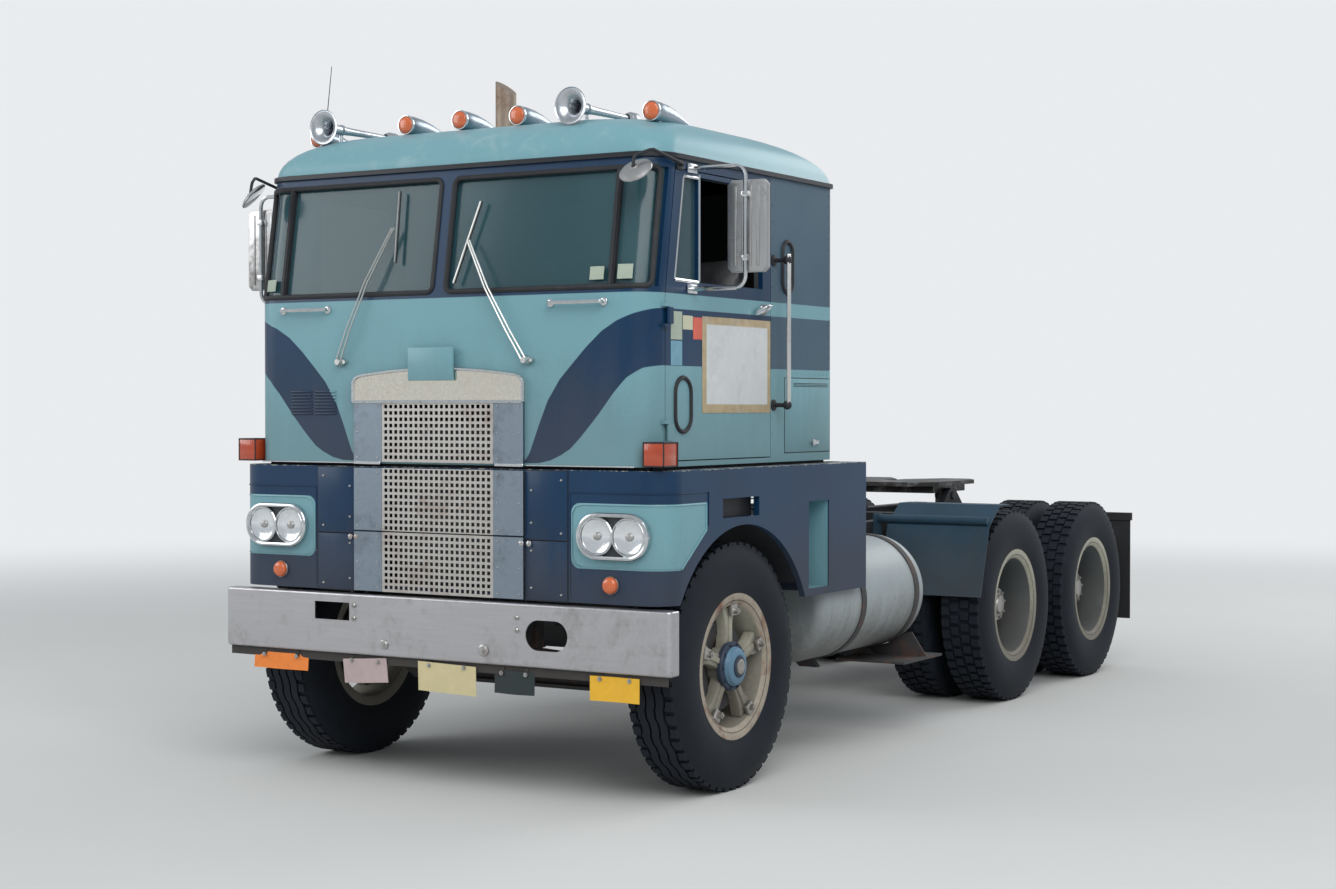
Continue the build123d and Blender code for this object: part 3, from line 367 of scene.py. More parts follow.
def paintDamage(finish, colour, rough, amount=1.0):
    # small chips down to primer and rust, and fine scratches in the gloss
    flecks = 1 - finish.step(finish.cells(26.0), 0.03, 0.055)
    chance = finish.step(finish.noise(5.0, 3.0), 0.6, 0.72)
    chips = flecks * chance * amount
    rusty = finish.mix(finish.step(finish.noise(60.0), 0.45, 0.6), linear["primer"], linear["rust"])
    rough = rough + finish.noise(120.0, 3.0) * 0.1 + chips * 0.3
    # stone chips: small dark dots that come in drifts
    dots = (1 - finish.step(finish.cells(31.0), 0.045, 0.075)) * finish.step(finish.noise(8.0, 3.0), 0.5, 0.6)
    colour = finish.mix(dots * 0.7 * amount, colour, (0.03, 0.034, 0.036))
    return finish.mix(chips, colour, rusty), rough, chips


swoosh = {  # the front's sweep: its upper and lower edges as (|x|, z), then flat along the sides
    "upper": ((0.455, 1.452), (0.49, 1.5), (0.54, 1.625), (0.584, 1.725), (0.645, 1.815), (0.716, 1.888),
              (0.78, 1.952), (0.857, 2.018), (0.93, 2.06), (1.006, 2.09), (1.06, 2.108), (1.1, 2.12)),
    "lower": ((0.455, 1.455), (0.54, 1.457), (0.6, 1.47), (0.654, 1.493), (0.7, 1.52), (0.75, 1.567),
              (0.8, 1.62), (0.847, 1.672), (0.917, 1.757), (0.98, 1.822), (1.04, 1.862), (1.1, 1.877)),
    "inner": 0.461,
    "belt": (2.12, 2.18),
    "reach": 1.2,
    "base": 1.4,
}


def cabDepth(finish):
    # how deep inside the cab's outer skin a point is, from 0 at the skin
    x, y, z = finish.split()
    lean = ((z - cabSkin["belt"]) * cabSkin["lean"]).maths("MAXIMUM", 0.0)
    across = abs(x) - cabSkin["turn"]
    ahead = (noseY + cabSkin["cornerBack"]) + lean - y
    corner = finish.node("ShaderNodeCombineXYZ", {}, {0: across.maths("MAXIMUM", 0.0),
                                                      1: ahead.maths("MAXIMUM", 0.0), 2: 0.0})
    length = finish.node("ShaderNodeVectorMath", {"operation": "LENGTH"}, {0: corner}, "Value")
    outside = (length - cabSkin["corner"]).maths("MAXIMUM", y - (noseY + cabSkin["rear"]))
    return 0.0 - outside


def cabPaint():
    # two blues: a sweep on the front that runs back as bands along the doors and sleeper
    finish = Finish("cab_two_tone_paint", Coat_Roughness=0.14, IOR=1.5, Specular_IOR_Level=0.28)
    x, y, z = finish.split()
    across = abs(x)
    edges = []
    for name in ("upper", "lower"):
        stops = [(a / swoosh["reach"], b - swoosh["base"]) for a, b in swoosh[name]]
        edges.append(finish.ramp(across / swoosh["reach"], stops) + swoosh["base"])
    sweep = (finish.step(z - edges[1], -0.002, 0.002) * (1 - finish.step(z - edges[0], -0.002, 0.002))
             * finish.step(across, swoosh["inner"] - 0.002, swoosh["inner"] + 0.002))
    above = finish.step(z, swoosh["belt"][1] - 0.002, swoosh["belt"][1] + 0.002)
    behind = finish.step(y, noseY + 1.715, noseY + 1.72)  # the side bands carry on level round the back
    band = finish.inside(z, swoosh["lower"][-1][1], swoosh["upper"][-1][1])
    dark = (sweep * (1 - behind) + band * behind).maths("MAXIMUM", above)
    sleeper = finish.step(y, noseY + 1.122, noseY + 1.126) * finish.step(across, 1.02, 1.06)
    fade = finish.noise(2.6, 4.0, 0.6, 0.3)
    deep = finish.mix(sleeper * (0.55 + fade * 0.5), finish.tint(linear["navy"], fade, 0.3), linear["slate"])
    light = finish.tint(linear["lightBlue"], fade, 0.07)
    colour = finish.mix(dark, light, deep)
    grime = dirtMask(finish, 2.3, 1.35, 0.55)
    colour = finish.mix(grime, colour, finish.mix(0.5, colour, linear["dirt"]))
    runs = finish.noise(16.0, 5.0, 0.7, 0.2, finish.stretched((1.0, 1.0, 0.06)))
    rustRuns = finish.step(runs, 0.66, 0.8) * finish.step(finish.noise(3.0), 0.5, 0.62) * 0.45
    colour = finish.mix(rustRuns, colour, finish.mix(0.35, colour, linear["rust"]))
    colour, rough, chips = paintDamage(finish, colour, 0.3 + grime * 0.25 + sleeper * 0.12, 0.8)
    lining = finish.step(cabDepth(finish), 0.02, 0.026)
    trim = finish.tint((0.055, 0.06, 0.062), finish.noise(30.0), 0.2)
    finish.set("Base Color", finish.mix(lining, colour, trim))
    finish.set("Roughness", rough + lining * 0.3)
    finish.set("Coat Weight", (1 - lining) * (0.12 - chips * 0.12))
    orangePeel = finish.noise(55.0, 2.0) * 0.25 + finish.noise(3.5, 2.0) * 0.8 - chips * 0.4
    finish.bump(orangePeel, 0.22, 0.0016)
    return finish.material


lampPanel = {"inner": 0.704, "outer": 1.3, "low": 1.012, "high": 1.291, "middle": 1.1515, "half": 0.1395,
             "corner": 0.045, "slantFrom": 0.163, "slant": 0.73, "back": (0.377, 0.38)}
pocket = {"station": (1.328, 1.549), "z": (0.843, 1.266), "face": (1.166, 1.17)}


def bodyPaint():
    # the lower body: navy, with light blue round the headlamps and inside the step pockets
    finish = Finish("lower_body_navy_paint", Coat_Roughness=0.14, IOR=1.5, Specular_IOR_Level=0.28)
    x, y, z = finish.split()
    across = abs(x)
    station = y - noseY
    # the lamp panel has a cut lower corner on the side and rounded corners on the front
    front = finish.inside(across, lampPanel["inner"], lampPanel["outer"]) * finish.inside(
        z, lampPanel["low"], lampPanel["high"]) * (1 - finish.step(station, *lampPanel["back"]))
    rise = (station - lampPanel["slantFrom"]) * lampPanel["slant"]
    slant = finish.step(z - lampPanel["low"] - rise, -0.002, 0.002)
    cornerA = (lampPanel["inner"] + lampPanel["corner"]) - across
    cornerUp = abs(z - lampPanel["middle"]) - (lampPanel["half"] - lampPanel["corner"])
    reach = (cornerA.maths("MAXIMUM", 0.0) * cornerA.maths("MAXIMUM", 0.0)
             + cornerUp.maths("MAXIMUM", 0.0) * cornerUp.maths("MAXIMUM", 0.0)).maths("SQRT")
    rounded = 1 - finish.step(reach, 0.0435, 0.0465)
    sunk = (finish.inside(station, *pocket["station"]) * finish.inside(z, *pocket["z"])
            * (1 - finish.step(across, *pocket["face"])) * finish.step(across, 0.9, 1.0))
    light = (front * slant * rounded).maths("MAXIMUM", sunk)
    fade = finish.noise(3.0, 4.0, 0.6, 0.3)
    colour = finish.mix(light, finish.tint(linear["navy"], fade, 0.35),
                        finish.tint(linear["lightBlue"], fade, 0.08))
    grime = dirtMask(finish, 1.5, 0.75, 0.85)
    colour = finish.mix(grime * (1 - light * 0.5), colour, finish.mix(0.42, colour, linear["dirt"]))
    # scuffs to bare primer along the top edge and the rear corner
    edge = finish.step(z, 1.418, 1.429) + finish.step(station, 1.9, 1.945) * finish.step(z, 1.28, 1.42)
    scuffs = finish.step(edge.maths("MINIMUM", 1.0) + finish.noise(34.0, 6.0, 0.75) - 1, 0.5, 0.56)
    colour = finish.mix(scuffs * 0.9, colour, linear["primer"])
    colour, rough, chips = paintDamage(finish, colour, 0.33 + grime * 0.28)
    finish.set("Base Color", colour)
    finish.set("Roughness", rough + scuffs * 0.3)
    finish.set("Coat Weight", 0.1 - (chips + scuffs).maths("MINIMUM", 1.0) * 0.1)
    finish.bump(finish.noise(50.0, 2.0) * 0.2 + finish.noise(4.0, 2.0) * 0.9 - scuffs * 0.5, 0.25, 0.0018)
    return finish.material


def roofPaint():
    finish = Finish("roof_light_blue_paint", Coat_Roughness=0.16, IOR=1.5, Specular_IOR_Level=0.28)
    z = finish.split()[2]
    fade = finish.noise(2.0, 4.0, 0.6, 0.4)
    colour = finish.tint(linear["lightBlue"], fade, 0.1)
    dust = finish.step(finish.noise(6.0, 6.0, 0.65, 0.5), 0.52, 0.78) * 0.35
    colour = finish.mix(dust, colour, finish.mix(0.5, colour, linear["white"]))
    gutterLine = 1 - finish.step(z, 2.7765, 2.7785)
    colour = finish.mix(gutterLine, colour, finish.tint(linear["frameBlack"], fade, 0.4))
    colour, rough, chips = paintDamage(finish, colour, 0.32 + dust * 0.3, 0.6)
    finish.set("Base Color", colour)
    finish.set("Roughness", rough)
    finish.set("Coat Weight", 0.08 - chips * 0.08)
    finish.bump(finish.noise(50.0, 2.0) * 0.2 + finish.noise(3.0, 2.0), 0.22, 0.0018)
    return finish.material


def plainPaint(name, colour, rough=0.4, dirt=0.5, chips=0.6, band=(1.6, 0.2), spread=0.25):
    finish = Finish(name, Coat_Roughness=0.2, Specular_IOR_Level=0.3)
    fade = finish.noise(4.0, 4.0, 0.6, 0.3)
    grime = dirtMask(finish, band[0], band[1], dirt)
    made = finish.mix(grime, finish.tint(colour, fade, spread), linear["dirt"])
    made, roughness, flecks = paintDamage(finish, made, rough + grime * 0.3, chips)
    finish.set("Base Color", made)
    finish.set("Roughness", roughness)
    finish.set("Coat Weight", 0.08 - flecks * 0.08)
    finish.bump(finish.noise(40.0, 3.0) * 0.5 + grime * 0.6 - flecks * 0.4, 0.25, 0.0015)
    return finish.material


def brightMetal(name, colour, rough=0.28, brush=(1, 1, 1), stain=0.4, stainColour="dirt", pits=0.3, metal=1.0,
                relief=1.0):
    # metal with a brushed grain, dull stains and small pits
    finish = Finish(name)
    grain = finish.noise(90.0, 4.0, 0.6, 0.0, finish.stretched(brush))
    cloud = finish.noise(5.0, 5.0, 0.62, 0.5)
    stains = finish.step(cloud * 0.7 + finish.noise(26.0, 5.0, 0.7) * 0.45, 0.55, 0.8) * stain
    spots = (1 - finish.step(finish.cells(60.0), 0.05, 0.1)) * finish.step(finish.noise(7.0), 0.55, 0.68) * pits
    made = finish.mix(stains, finish.tint(colour, grain, 0.12), linear[stainColour])
    finish.set("Base Color", finish.mix(spots, made, linear["dirt"]))
    finish.set("Metallic", metal - stains * 0.45 - spots * 0.4)
    finish.set("Roughness", rough + grain * 0.12 + stains * 0.3 + spots * 0.3)
    finish.bump(grain * 0.3 + cloud * 0.9 - spots, 0.22 * relief, 0.0012)
    return finish.material


def castMetal(name, colour, second="rust", amount=0.4, rough=0.62, metal=0.2):
    finish = Finish(name)
    lumps = finish.noise(48.0, 6.0, 0.7)
    patches = finish.step(finish.noise(7.0, 5.0, 0.65, 0.4), 0.48, 0.66) * amount
    dust = finish.step(finish.noise(14.0, 4.0, 0.6), 0.45, 0.8) * 0.35
    made = finish.mix(patches, finish.tint(colour, lumps, 0.3), linear[second])
    finish.set("Base Color", finish.mix(dust, made, linear["dirt"]))
    finish.set("Metallic", metal - patches * metal)
    finish.set("Roughness", rough + lumps * 0.2)
    finish.bump(lumps, 0.35, 0.002)
    return finish.material


def tyreRubber(name, centreStation, dust=0.5):
    # rings of fine moulding on the sidewall, dust in patches and on the tread's face
    finish = Finish(name, Specular_IOR_Level=0.22)
    _, y, z = finish.split()
    back = y - (noseY + centreStation)
    up = z - wheelHeight
    radius = (back * back + up * up).maths("SQRT")
    rings = (radius * 900.0).maths("SINE") * finish.inside(radius, 0.4, 0.5, 0.01)
    cloud = finish.noise(6.0, 5.0, 0.65, 0.4)
    film = finish.step(cloud * 0.7 + finish.noise(40.0, 4.0) * 0.4, 0.4, 0.85) * dust
    film = film.maths("MAXIMUM", finish.step(radius, 0.546, 0.551) * 0.35)
    finish.set("Base Color", finish.mix(film, finish.tint(linear["rubber"], cloud, 0.35), (0.021, 0.027, 0.037)))
    finish.set("Roughness", 0.62 + film * 0.25)
    finish.bump(rings * 0.5 + finish.noise(130.0, 3.0) * 0.6, 0.3, 0.0015)
    return finish.material


def glassMaterial(name, colour, alpha, rough=0.05):
    finish = Finish(name, IOR=1.5)
    smear = finish.step(finish.noise(1.6, 2.0, 0.5, 0.3, finish.stretched((1, 1, 0.5))), 0.42, 0.8)
    finish.set("Base Color", finish.mix(smear * 0.35, colour, tuple(part * 1.7 + 0.02 for part in colour)))
    finish.set("Roughness", rough + smear * 0.04)
    finish.set("Alpha", alpha + smear * 0.06)
    return finish.material


def lampLens(name, colour, spacing=0.011):
    # a moulded lens with fine upright ribs
    finish = Finish(name, IOR=1.49, Coat_Roughness=0.05)
    ribs = (finish.split()[0] * (2 * math.pi / spacing)).maths("SINE") * 0.5 + 0.5
    grime = finish.step(finish.noise(18.0, 5.0, 0.7), 0.5, 0.8) * 0.4
    made = finish.mix(ribs * 0.35, colour, tuple(min(1.0, part * 1.35 + 0.02) for part in colour))
    made = finish.mix(grime, made, tuple(part * 0.35 for part in colour))
    finish.set("Base Color", made)
    finish.set("Roughness", 0.16 + grime * 0.3)
    finish.set("Coat Weight", 0.6 - grime * 0.4)
    finish.bump(ribs, 0.35, 0.001)
    return finish.material


def softRubber(name, colour=(0.012, 0.013, 0.016), rough=0.55, scale=60.0):
    finish = Finish(name)
    wear = finish.noise(scale, 4.0, 0.65)
    pale = finish.step(finish.noise(9.0, 5.0, 0.6), 0.5, 0.8) * 0.4
    finish.set("Base Color", finish.mix(pale, finish.tint(colour, wear, 0.4), (0.05, 0.05, 0.055)))
    finish.set("Roughness", rough + wear * 0.2)
    finish.bump(wear, 0.25, 0.001)
    return finish.material


def sheetPaper(name, colour, border=None, low=(0, 0), high=(1, 1)):
    # a blank sheet, sun-browned and creased; with border, taped all round
    finish = Finish(name)
    _, y, z = finish.split()
    crease = finish.noise(14.0, 6.0, 0.65, 0.6)
    made = finish.tint(colour, crease, 0.14)
    if border:
        station = y - noseY
        frameMask = 1 - finish.inside(station, low[0], high[0], 0.004) * finish.inside(z, low[1], high[1], 0.004)
        made = finish.mix(frameMask, made, finish.tint(border, finish.noise(25.0), 0.3))
    stain = finish.step(finish.noise(7.0, 6.0, 0.7), 0.5, 0.75) * 0.4
    finish.set("Base Color", finish.mix(stain, made, tuple(part * 0.6 for part in colour)))
    finish.set("Roughness", 0.72 + crease * 0.15)
    finish.bump(crease + finish.noise(80.0) * 0.3, 0.4, 0.0018)
    return finish.material


def wovenCloth(name, colour, second, pitch=0.006):
    # over-and-under threads with a little fuzz
    finish = Finish(name)
    x, y, z = finish.split()
    warp = (x * (2 * math.pi / pitch)).maths("SINE")
    weft = ((y + z) * (2 * math.pi / pitch)).maths("SINE")
    weave = (warp * weft) * 0.5 + 0.5
    cloud = finish.noise(6.0, 5.0, 0.6)
    finish.set("Base Color", finish.mix(weave * 0.5 + cloud * 0.3, colour, second))
    finish.set("Roughness", 0.82 + cloud * 0.1)
    finish.bump(weave + finish.noise(200.0) * 0.5, 0.5, 0.0012)
    return finish.material


def vinylSkin(name, colour, rough=0.42):
    finish = Finish(name)
    grain = finish.cells(190.0)
    wear = finish.step(finish.noise(8.0, 5.0, 0.6), 0.48, 0.75)
    finish.set("Base Color", finish.mix(wear * 0.35, finish.tint(colour, grain, 0.25),
                                        tuple(part * 1.6 + 0.01 for part in colour)))
    finish.set("Roughness", rough + wear * 0.2)
    finish.bump(grain * 0.7 + finish.noise(30.0, 4.0) * 0.4, 0.35, 0.0012)
    return finish.material


# Camera, light and floor

view = {"place": (5.675, -10.5255, 1.694), "yaw": 0.5399, "pitch": -0.0173, "lens": 56.94}


def setCamera():
    camera = bpy.data.objects.new("camera", bpy.data.cameras.new("camera"))
    camera.location = view["place"]
    ahead = Vector((-math.sin(view["yaw"]) * math.cos(view["pitch"]),
                    math.cos(view["yaw"]) * math.cos(view["pitch"]), math.sin(view["pitch"])))
    camera.rotation_euler = ahead.to_track_quat("-Z", "Y").to_euler()
    camera.data.lens = view["lens"]
    camera.data.sensor_width = 36
    bpy.context.scene.collection.objects.link(camera)
    bpy.context.scene.camera = camera


light = {
    "sky": 0.66, "skyColour": (0.8, 0.85, 0.9), "backdrop": (0.86, 0.88, 0.9), "backdropStrength": 0.95,
    "floor": (0.6, 0.6, 0.585), "floorFade": (5.0, 17.0),
    "lamps": (  # name, place, target, power, size
        ("key", (7.0, -9.0, 9.0), (0, -1.5, 1.2), 900, (9, 9)),
        ("fill", (-8.0, -7.5, 5.0), (0, -1.0, 1.5), 290, (7, 5)),
        ("rear", (3.5, 8.5, 7.0), (0, 1.0, 1.0), 380, (8, 5)),
    ),
}


def addArea(name, place, target, power, size):
    lamp = bpy.data.lights.new(name, "AREA")
    lamp.energy = power
    lamp.shape = "RECTANGLE"
    lamp.size, lamp.size_y = size
    holder = bpy.data.objects.new(name, lamp)
    holder.location = place
    holder.rotation_euler = (Vector(target) - Vector(place)).to_track_quat("-Z", "Y").to_euler()
    bpy.context.scene.collection.objects.link(holder)


def setLight():
    bpy.context.scene.view_settings.view_transform = "Standard"
    world = bpy.data.worlds.new("studio")
    bpy.context.scene.world = world
    world.use_nodes = True
    tree = world.node_tree
    tree.nodes.clear()
    paths = tree.nodes.new("ShaderNodeLightPath")
    seen = tree.nodes.new("ShaderNodeMath")
    seen.operation = "MAXIMUM"
    tree.links.new(paths.outputs["Is Camera Ray"], seen.inputs[0])
    tree.links.new(paths.outputs["Is Transmission Ray"], seen.inputs[1])
    backgrounds = []
    for colour, strength in ((light["skyColour"], light["sky"]),
                             (light["backdrop"], light["backdropStrength"])):
        shade = tree.nodes.new("ShaderNodeBackground")
        shade.inputs["Color"].default_value = (*colour, 1.0)
        shade.inputs["Strength"].default_value = strength
        backgrounds.append(shade)
    blend = tree.nodes.new("ShaderNodeMixShader")
    output = tree.nodes.new("ShaderNodeOutputWorld")
    tree.links.new(seen.outputs[0], blend.inputs[0])
    tree.links.new(backgrounds[0].outputs[0], blend.inputs[1])
    tree.links.new(backgrounds[1].outputs[0], blend.inputs[2])
    tree.links.new(blend.outputs[0], output.inputs["Surface"])
    for lamp in light["lamps"]:
        addArea(*lamp)


def addFloor():
    bm = bmesh.new()
    bmesh.ops.create_grid(bm, x_segments=2, y_segments=2, size=60)
    mesh = bpy.data.meshes.new("floor")
    bm.to_mesh(mesh)
    bm.free()
    floor = bpy.data.objects.new("floor", mesh)
    bpy.context.scene.collection.objects.link(floor)
    finish = Finish("pale_floor", Roughness=0.9, Specular_IOR_Level=0.1)
    finish.set("Base Color", finish.tint(light["floor"], finish.noise(0.7, 4.0), 0.03))
    # far from the truck the floor turns into the backdrop, so no edge shows
    x, y, _ = finish.split()
    away = finish.step((x * x + y * y).maths("SQRT"), *light["floorFade"])
    paths = finish.tree.nodes.new("ShaderNodeLightPath")
    camera, glossy, through = (Value(finish, paths.outputs[name]) for name in
                               ("Is Camera Ray", "Is Glossy Ray", "Is Transmission Ray"))
    seen = camera.maths("MAXIMUM", glossy).maths("MAXIMUM", through)
    glow = finish.tree.nodes.new("ShaderNodeEmission")
    glow.inputs["Color"].default_value = (*light["backdrop"], 1.0)
    glow.inputs["Strength"].default_value = light["backdropStrength"]
    blend = finish.tree.nodes.new("ShaderNodeMixShader")
    finish.feed(blend.inputs[0], away * seen)
    finish.tree.links.new(finish.shader.outputs[0], blend.inputs[1])
    finish.tree.links.new(glow.outputs[0], blend.inputs[2])
    output = next(node for node in finish.tree.nodes if node.type == "OUTPUT_MATERIAL")
    finish.tree.links.new(blend.outputs[0], output.inputs["Surface"])
    mesh.materials.append(finish.material)


setCamera()
setLight()
addFloor()
print("camera, light and floor set")


# Wheels and tyres: each is built for the left side, and turned over for the right

tyreShape = {
    "radius": 0.55, "base": 0.537, "shoulder": 0.11,
    "side": ((0.117, 0.292), (0.1215, 0.331), (0.129, 0.35), (0.137, 0.385), (0.14, 0.425),
             (0.138, 0.462), (0.1315, 0.492), (0.1225, 0.514), (0.114, 0.53)),
    "driveColumns": (0.062, 0.054, 0.007), "drivePitch": 52,
    "steerColumns": (0.074, 0.064, 0.028, 0.018), "steerPitch": 54, "zigzag": 0.004,
}


def addTyre(bm, x, station, kind):
    base, top = tyreShape["base"], tyreShape["radius"]
    columns = tyreShape[kind + "Columns"]
    crown = [tyreShape["shoulder"], *columns]
    outer = [(-along, radius) for along, radius in tyreShape["side"]] + [(-along, base) for along in crown]
    outer += [(along, base) for along in crown[::-1]]
    outer += [(along, radius) for along, radius in tyreShape["side"][::-1]]
    inner = [(0.105, 0.305), (0.118, 0.4), (0.09, 0.5), (-0.09, 0.5), (-0.118, 0.4), (-0.105, 0.305)]
    centre = at(x, station, wheelHeight)
    pitch = tyreShape[kind + "Pitch"] * 3
    before = set(bm.faces)
    addTurned(bm, outer + inner, centre, "X", pitch)
    lifted = []
    for face in bm.faces:
        if face in before:
            continue
        spot = face.calc_center_median() - centre
        radius = math.hypot(spot.y, spot.z)
        if abs(radius - base) > 0.004 or abs(spot.x) > tyreShape["shoulder"] - 0.001:
            continue
        turn = int((math.atan2(spot.z, spot.y) / (2 * math.pi) % 1.0) * pitch)
        away = abs(spot.x)
        if kind == "drive":
            shoulder, middle = away > columns[0], columns[2] < away < columns[1]
            phase = turn + (1 if middle else 0) + (2 if spot.x < 0 else 0)
            raised = (shoulder or middle) and phase % 3 != 0
        else:
            ribs = away > columns[0] or columns[2] < away < columns[1] or away < columns[3]
            raised = ribs and not (away > columns[0] and turn % 3 == 0)
        if raised:
            lifted.append(face)
    if kind == "steer":  # the ribs' edges wander from side to side
        for vert in {vert for face in lifted for vert in face.verts}:
            spot = vert.co - centre
            turn = round((math.atan2(spot.z, spot.y) / (2 * math.pi) % 1.0) * pitch)
            if abs(spot.x) < tyreShape["shoulder"] - 0.002:
                vert.co.x += tyreShape["zigzag"] * (1 if turn % 6 < 3 else -1)
    grown = bmesh.ops.extrude_face_region(bm, geom=lifted)["geom"]
    bmesh.ops.delete(bm, geom=lifted, context="FACES_ONLY")
    for vert in vertsOf(grown):
        spot = vert.co - centre
        factor = top / max(math.hypot(spot.y, spot.z), 0.1)
        vert.co = centre + Vector((spot.x * 0.985, spot.y * factor, spot.z * factor))


rimShape = {
    "profile": ((0.12, 0.325), (0.119, 0.3), (0.113, 0.29), (0.108, 0.279), (0.095, 0.27),
                (-0.09, 0.266), (-0.113, 0.272), (-0.12, 0.29), (-0.12, 0.325), (-0.111, 0.325),
                (-0.108, 0.3), (-0.1, 0.287), (0.1, 0.287), (0.108, 0.3), (0.111, 0.325)),
    "lip": ((0.1195, 0.3248), (0.121, 0.3248), (0.1202, 0.2998), (0.1141, 0.2893), (0.1091, 0.2783),
            (0.101, 0.2724), (0.1, 0.2736), (0.107, 0.28), (0.112, 0.2905), (0.118, 0.3005)),
    "rib": ((0.08, -0.014), (0.225, -0.011), (0.225, 0.011), (0.08, 0.014)), "steps": 72,
    "spokes": 5, "spokeRoot": 0.06, "spokeTip": 0.262, "rootHalf": 0.04, "waistHalf": 0.029,
    "tipHalf": 0.052, "bevel": 0.007,
}


def addRim(bm, x, station):
    addTurned(bm, rimShape["profile"], at(x, station, wheelHeight), "X", rimShape["steps"])


def addLip(bm, x, station):  # a skin over the rim's outer flange, for its own finish
    addTurned(bm, rimShape["lip"], at(x, station, wheelHeight), "X", rimShape["steps"])


def addSpider(bm, fittings, x, station, thickness, clampX):
    # cast spokes with a raised rib, each with a clamp and a nut at the rim
    centre = at(0, station, wheelHeight)
    half = [(rimShape["spokeRoot"], rimShape["rootHalf"]), (0.13, rimShape["waistHalf"]),
            (0.2, 0.034), (0.245, rimShape["tipHalf"]), (rimShape["spokeTip"], rimShape["tipHalf"])]
    outline = [(r, -w) for r, w in half] + [(r, w) for r, w in half[::-1]]
    for number in range(rimShape["spokes"]):
        turn = Matrix.Rotation(math.radians(90 + 72 * number), 4, "X")
        start = set(bm.verts)
        addPlate(bm, outline, at(x, station, wheelHeight), (0, 1, 0), (0, 0, 1), thickness, rimShape["bevel"])
        addPlate(bm, rimShape["rib"], at(x + thickness - 0.002, station, wheelHeight), (0, 1, 0), (0, 0, 1),
                 0.012, 0.004, 1)
        turnNew(bm, start, centre, turn)
        start = set(fittings.verts)
        addBlock(fittings, (clampX - 0.004, clampX + 0.016), (station + 0.226, station + 0.276),
                 (wheelHeight - 0.026, wheelHeight + 0.026), 0.005)
        addNut(fittings, at(clampX + 0.014, station + 0.246, wheelHeight), (1, 0, 0), 0.015, 0.02)
        turnNew(fittings, start, centre, turn)


def addNutCircle(bm, x, station, circle):  # circle is a count, first angle, pitch radius, nut radius and height
    count, first, pitch, radius, height = circle
    for number in range(count):
        angle = math.radians(360 / count * number + first)
        addNut(bm, at(x, station + pitch * math.cos(angle), wheelHeight + pitch * math.sin(angle)), (1, 0, 0),
               radius, height)


frontWheel = {
    "x": 1.015, "spokes": (0.035, 0.05, 0.098),  # the spokes' inner face and thickness, and the clamps' face
    "hub": ((-0.03, 0.0), (-0.03, 0.082), (0.05, 0.088), (0.088, 0.084), (0.098, 0.078), (0.1, 0.0)),
    "cap": ((0.1, 0.0), (0.1, 0.086), (0.112, 0.088), (0.118, 0.084), (0.128, 0.08), (0.134, 0.07),
            (0.136, 0.052), (0.134, 0.05), (0.134, 0.0)),
    "ring": ((0.08, 0.0), (0.08, 0.108), (0.1, 0.11), (0.107, 0.106), (0.107, 0.091), (0.102, 0.089),
             (0.102, 0.0)),
    "boss": ((0.13, 0.0), (0.13, 0.048), (0.14, 0.047), (0.142, 0.04), (0.142, 0.0)),
    "plug": ((0.138, 0.0), (0.138, 0.034), (0.146, 0.033), (0.15, 0.026), (0.15, 0.012), (0.1455, 0.0)),
    "drum": ((-0.043, 0.15), (-0.043, 0.205), (-0.036, 0.207), (0.02, 0.203), (0.038, 0.198), (0.041, 0.15),
             (0.02, 0.085), (0.0, 0.085), (0.0, 0.15)),
    "nutFace": 0.104, "nuts": (10, 0, 0.0985, 0.0055, 0.007),
}


def makeFrontWheel(side):
    station, x = axles["front"], frontWheel["x"]
    centre = at(x, station, wheelHeight)
    name = f"wheel_front_{side}"
    casting, fittings, cap, ring, lip, drum, rubber = (bmesh.new() for _ in range(7))
    inner, thickness, clamp = frontWheel["spokes"]
    addRim(casting, x, station)
    addSpider(casting, fittings, x + inner, station, thickness, x + clamp)
    for bm, part, steps in ((casting, "hub", 40), (cap, "cap", 48), (ring, "ring", 48), (ring, "boss", 40),
                            (fittings, "plug", 32)):
        addTurned(bm, frontWheel[part], centre, "X", steps, False)
    addNutCircle(ring, x + frontWheel["nutFace"], station, frontWheel["nuts"])
    addLip(lip, x, station)
    addTurned(drum, frontWheel["drum"], centre)
    addTyre(rubber, x, station, "steer")
    turnOver(side, casting, fittings, cap, ring, lip, drum, rubber)
    finishPiece(f"{name}_spider", casting, "castCream", name, [name], 35, 1e-5)
    for word, bm, finish, slot, smooth in (
        ("clamps", fittings, "wheelNuts", "bright_steel", 30), ("cap", cap, "hubBlue", "body_light_blue", 30),
        ("hub_ring", ring, "body", "body_navy", 30), ("flange", lip, "rimRust", "wheel_cream", 35),
        ("drum", drum, "castDark", "cast_dark", 35),
    ):
        finishPiece(f"{name}_{word}", bm, finish, name, (), smooth, 1e-5)
    finishPiece(f"tyre_front_{side}_ribbed", rubber, "tyreFront", name,
                [f"tyre_front_{side}"], 32, 1e-5)


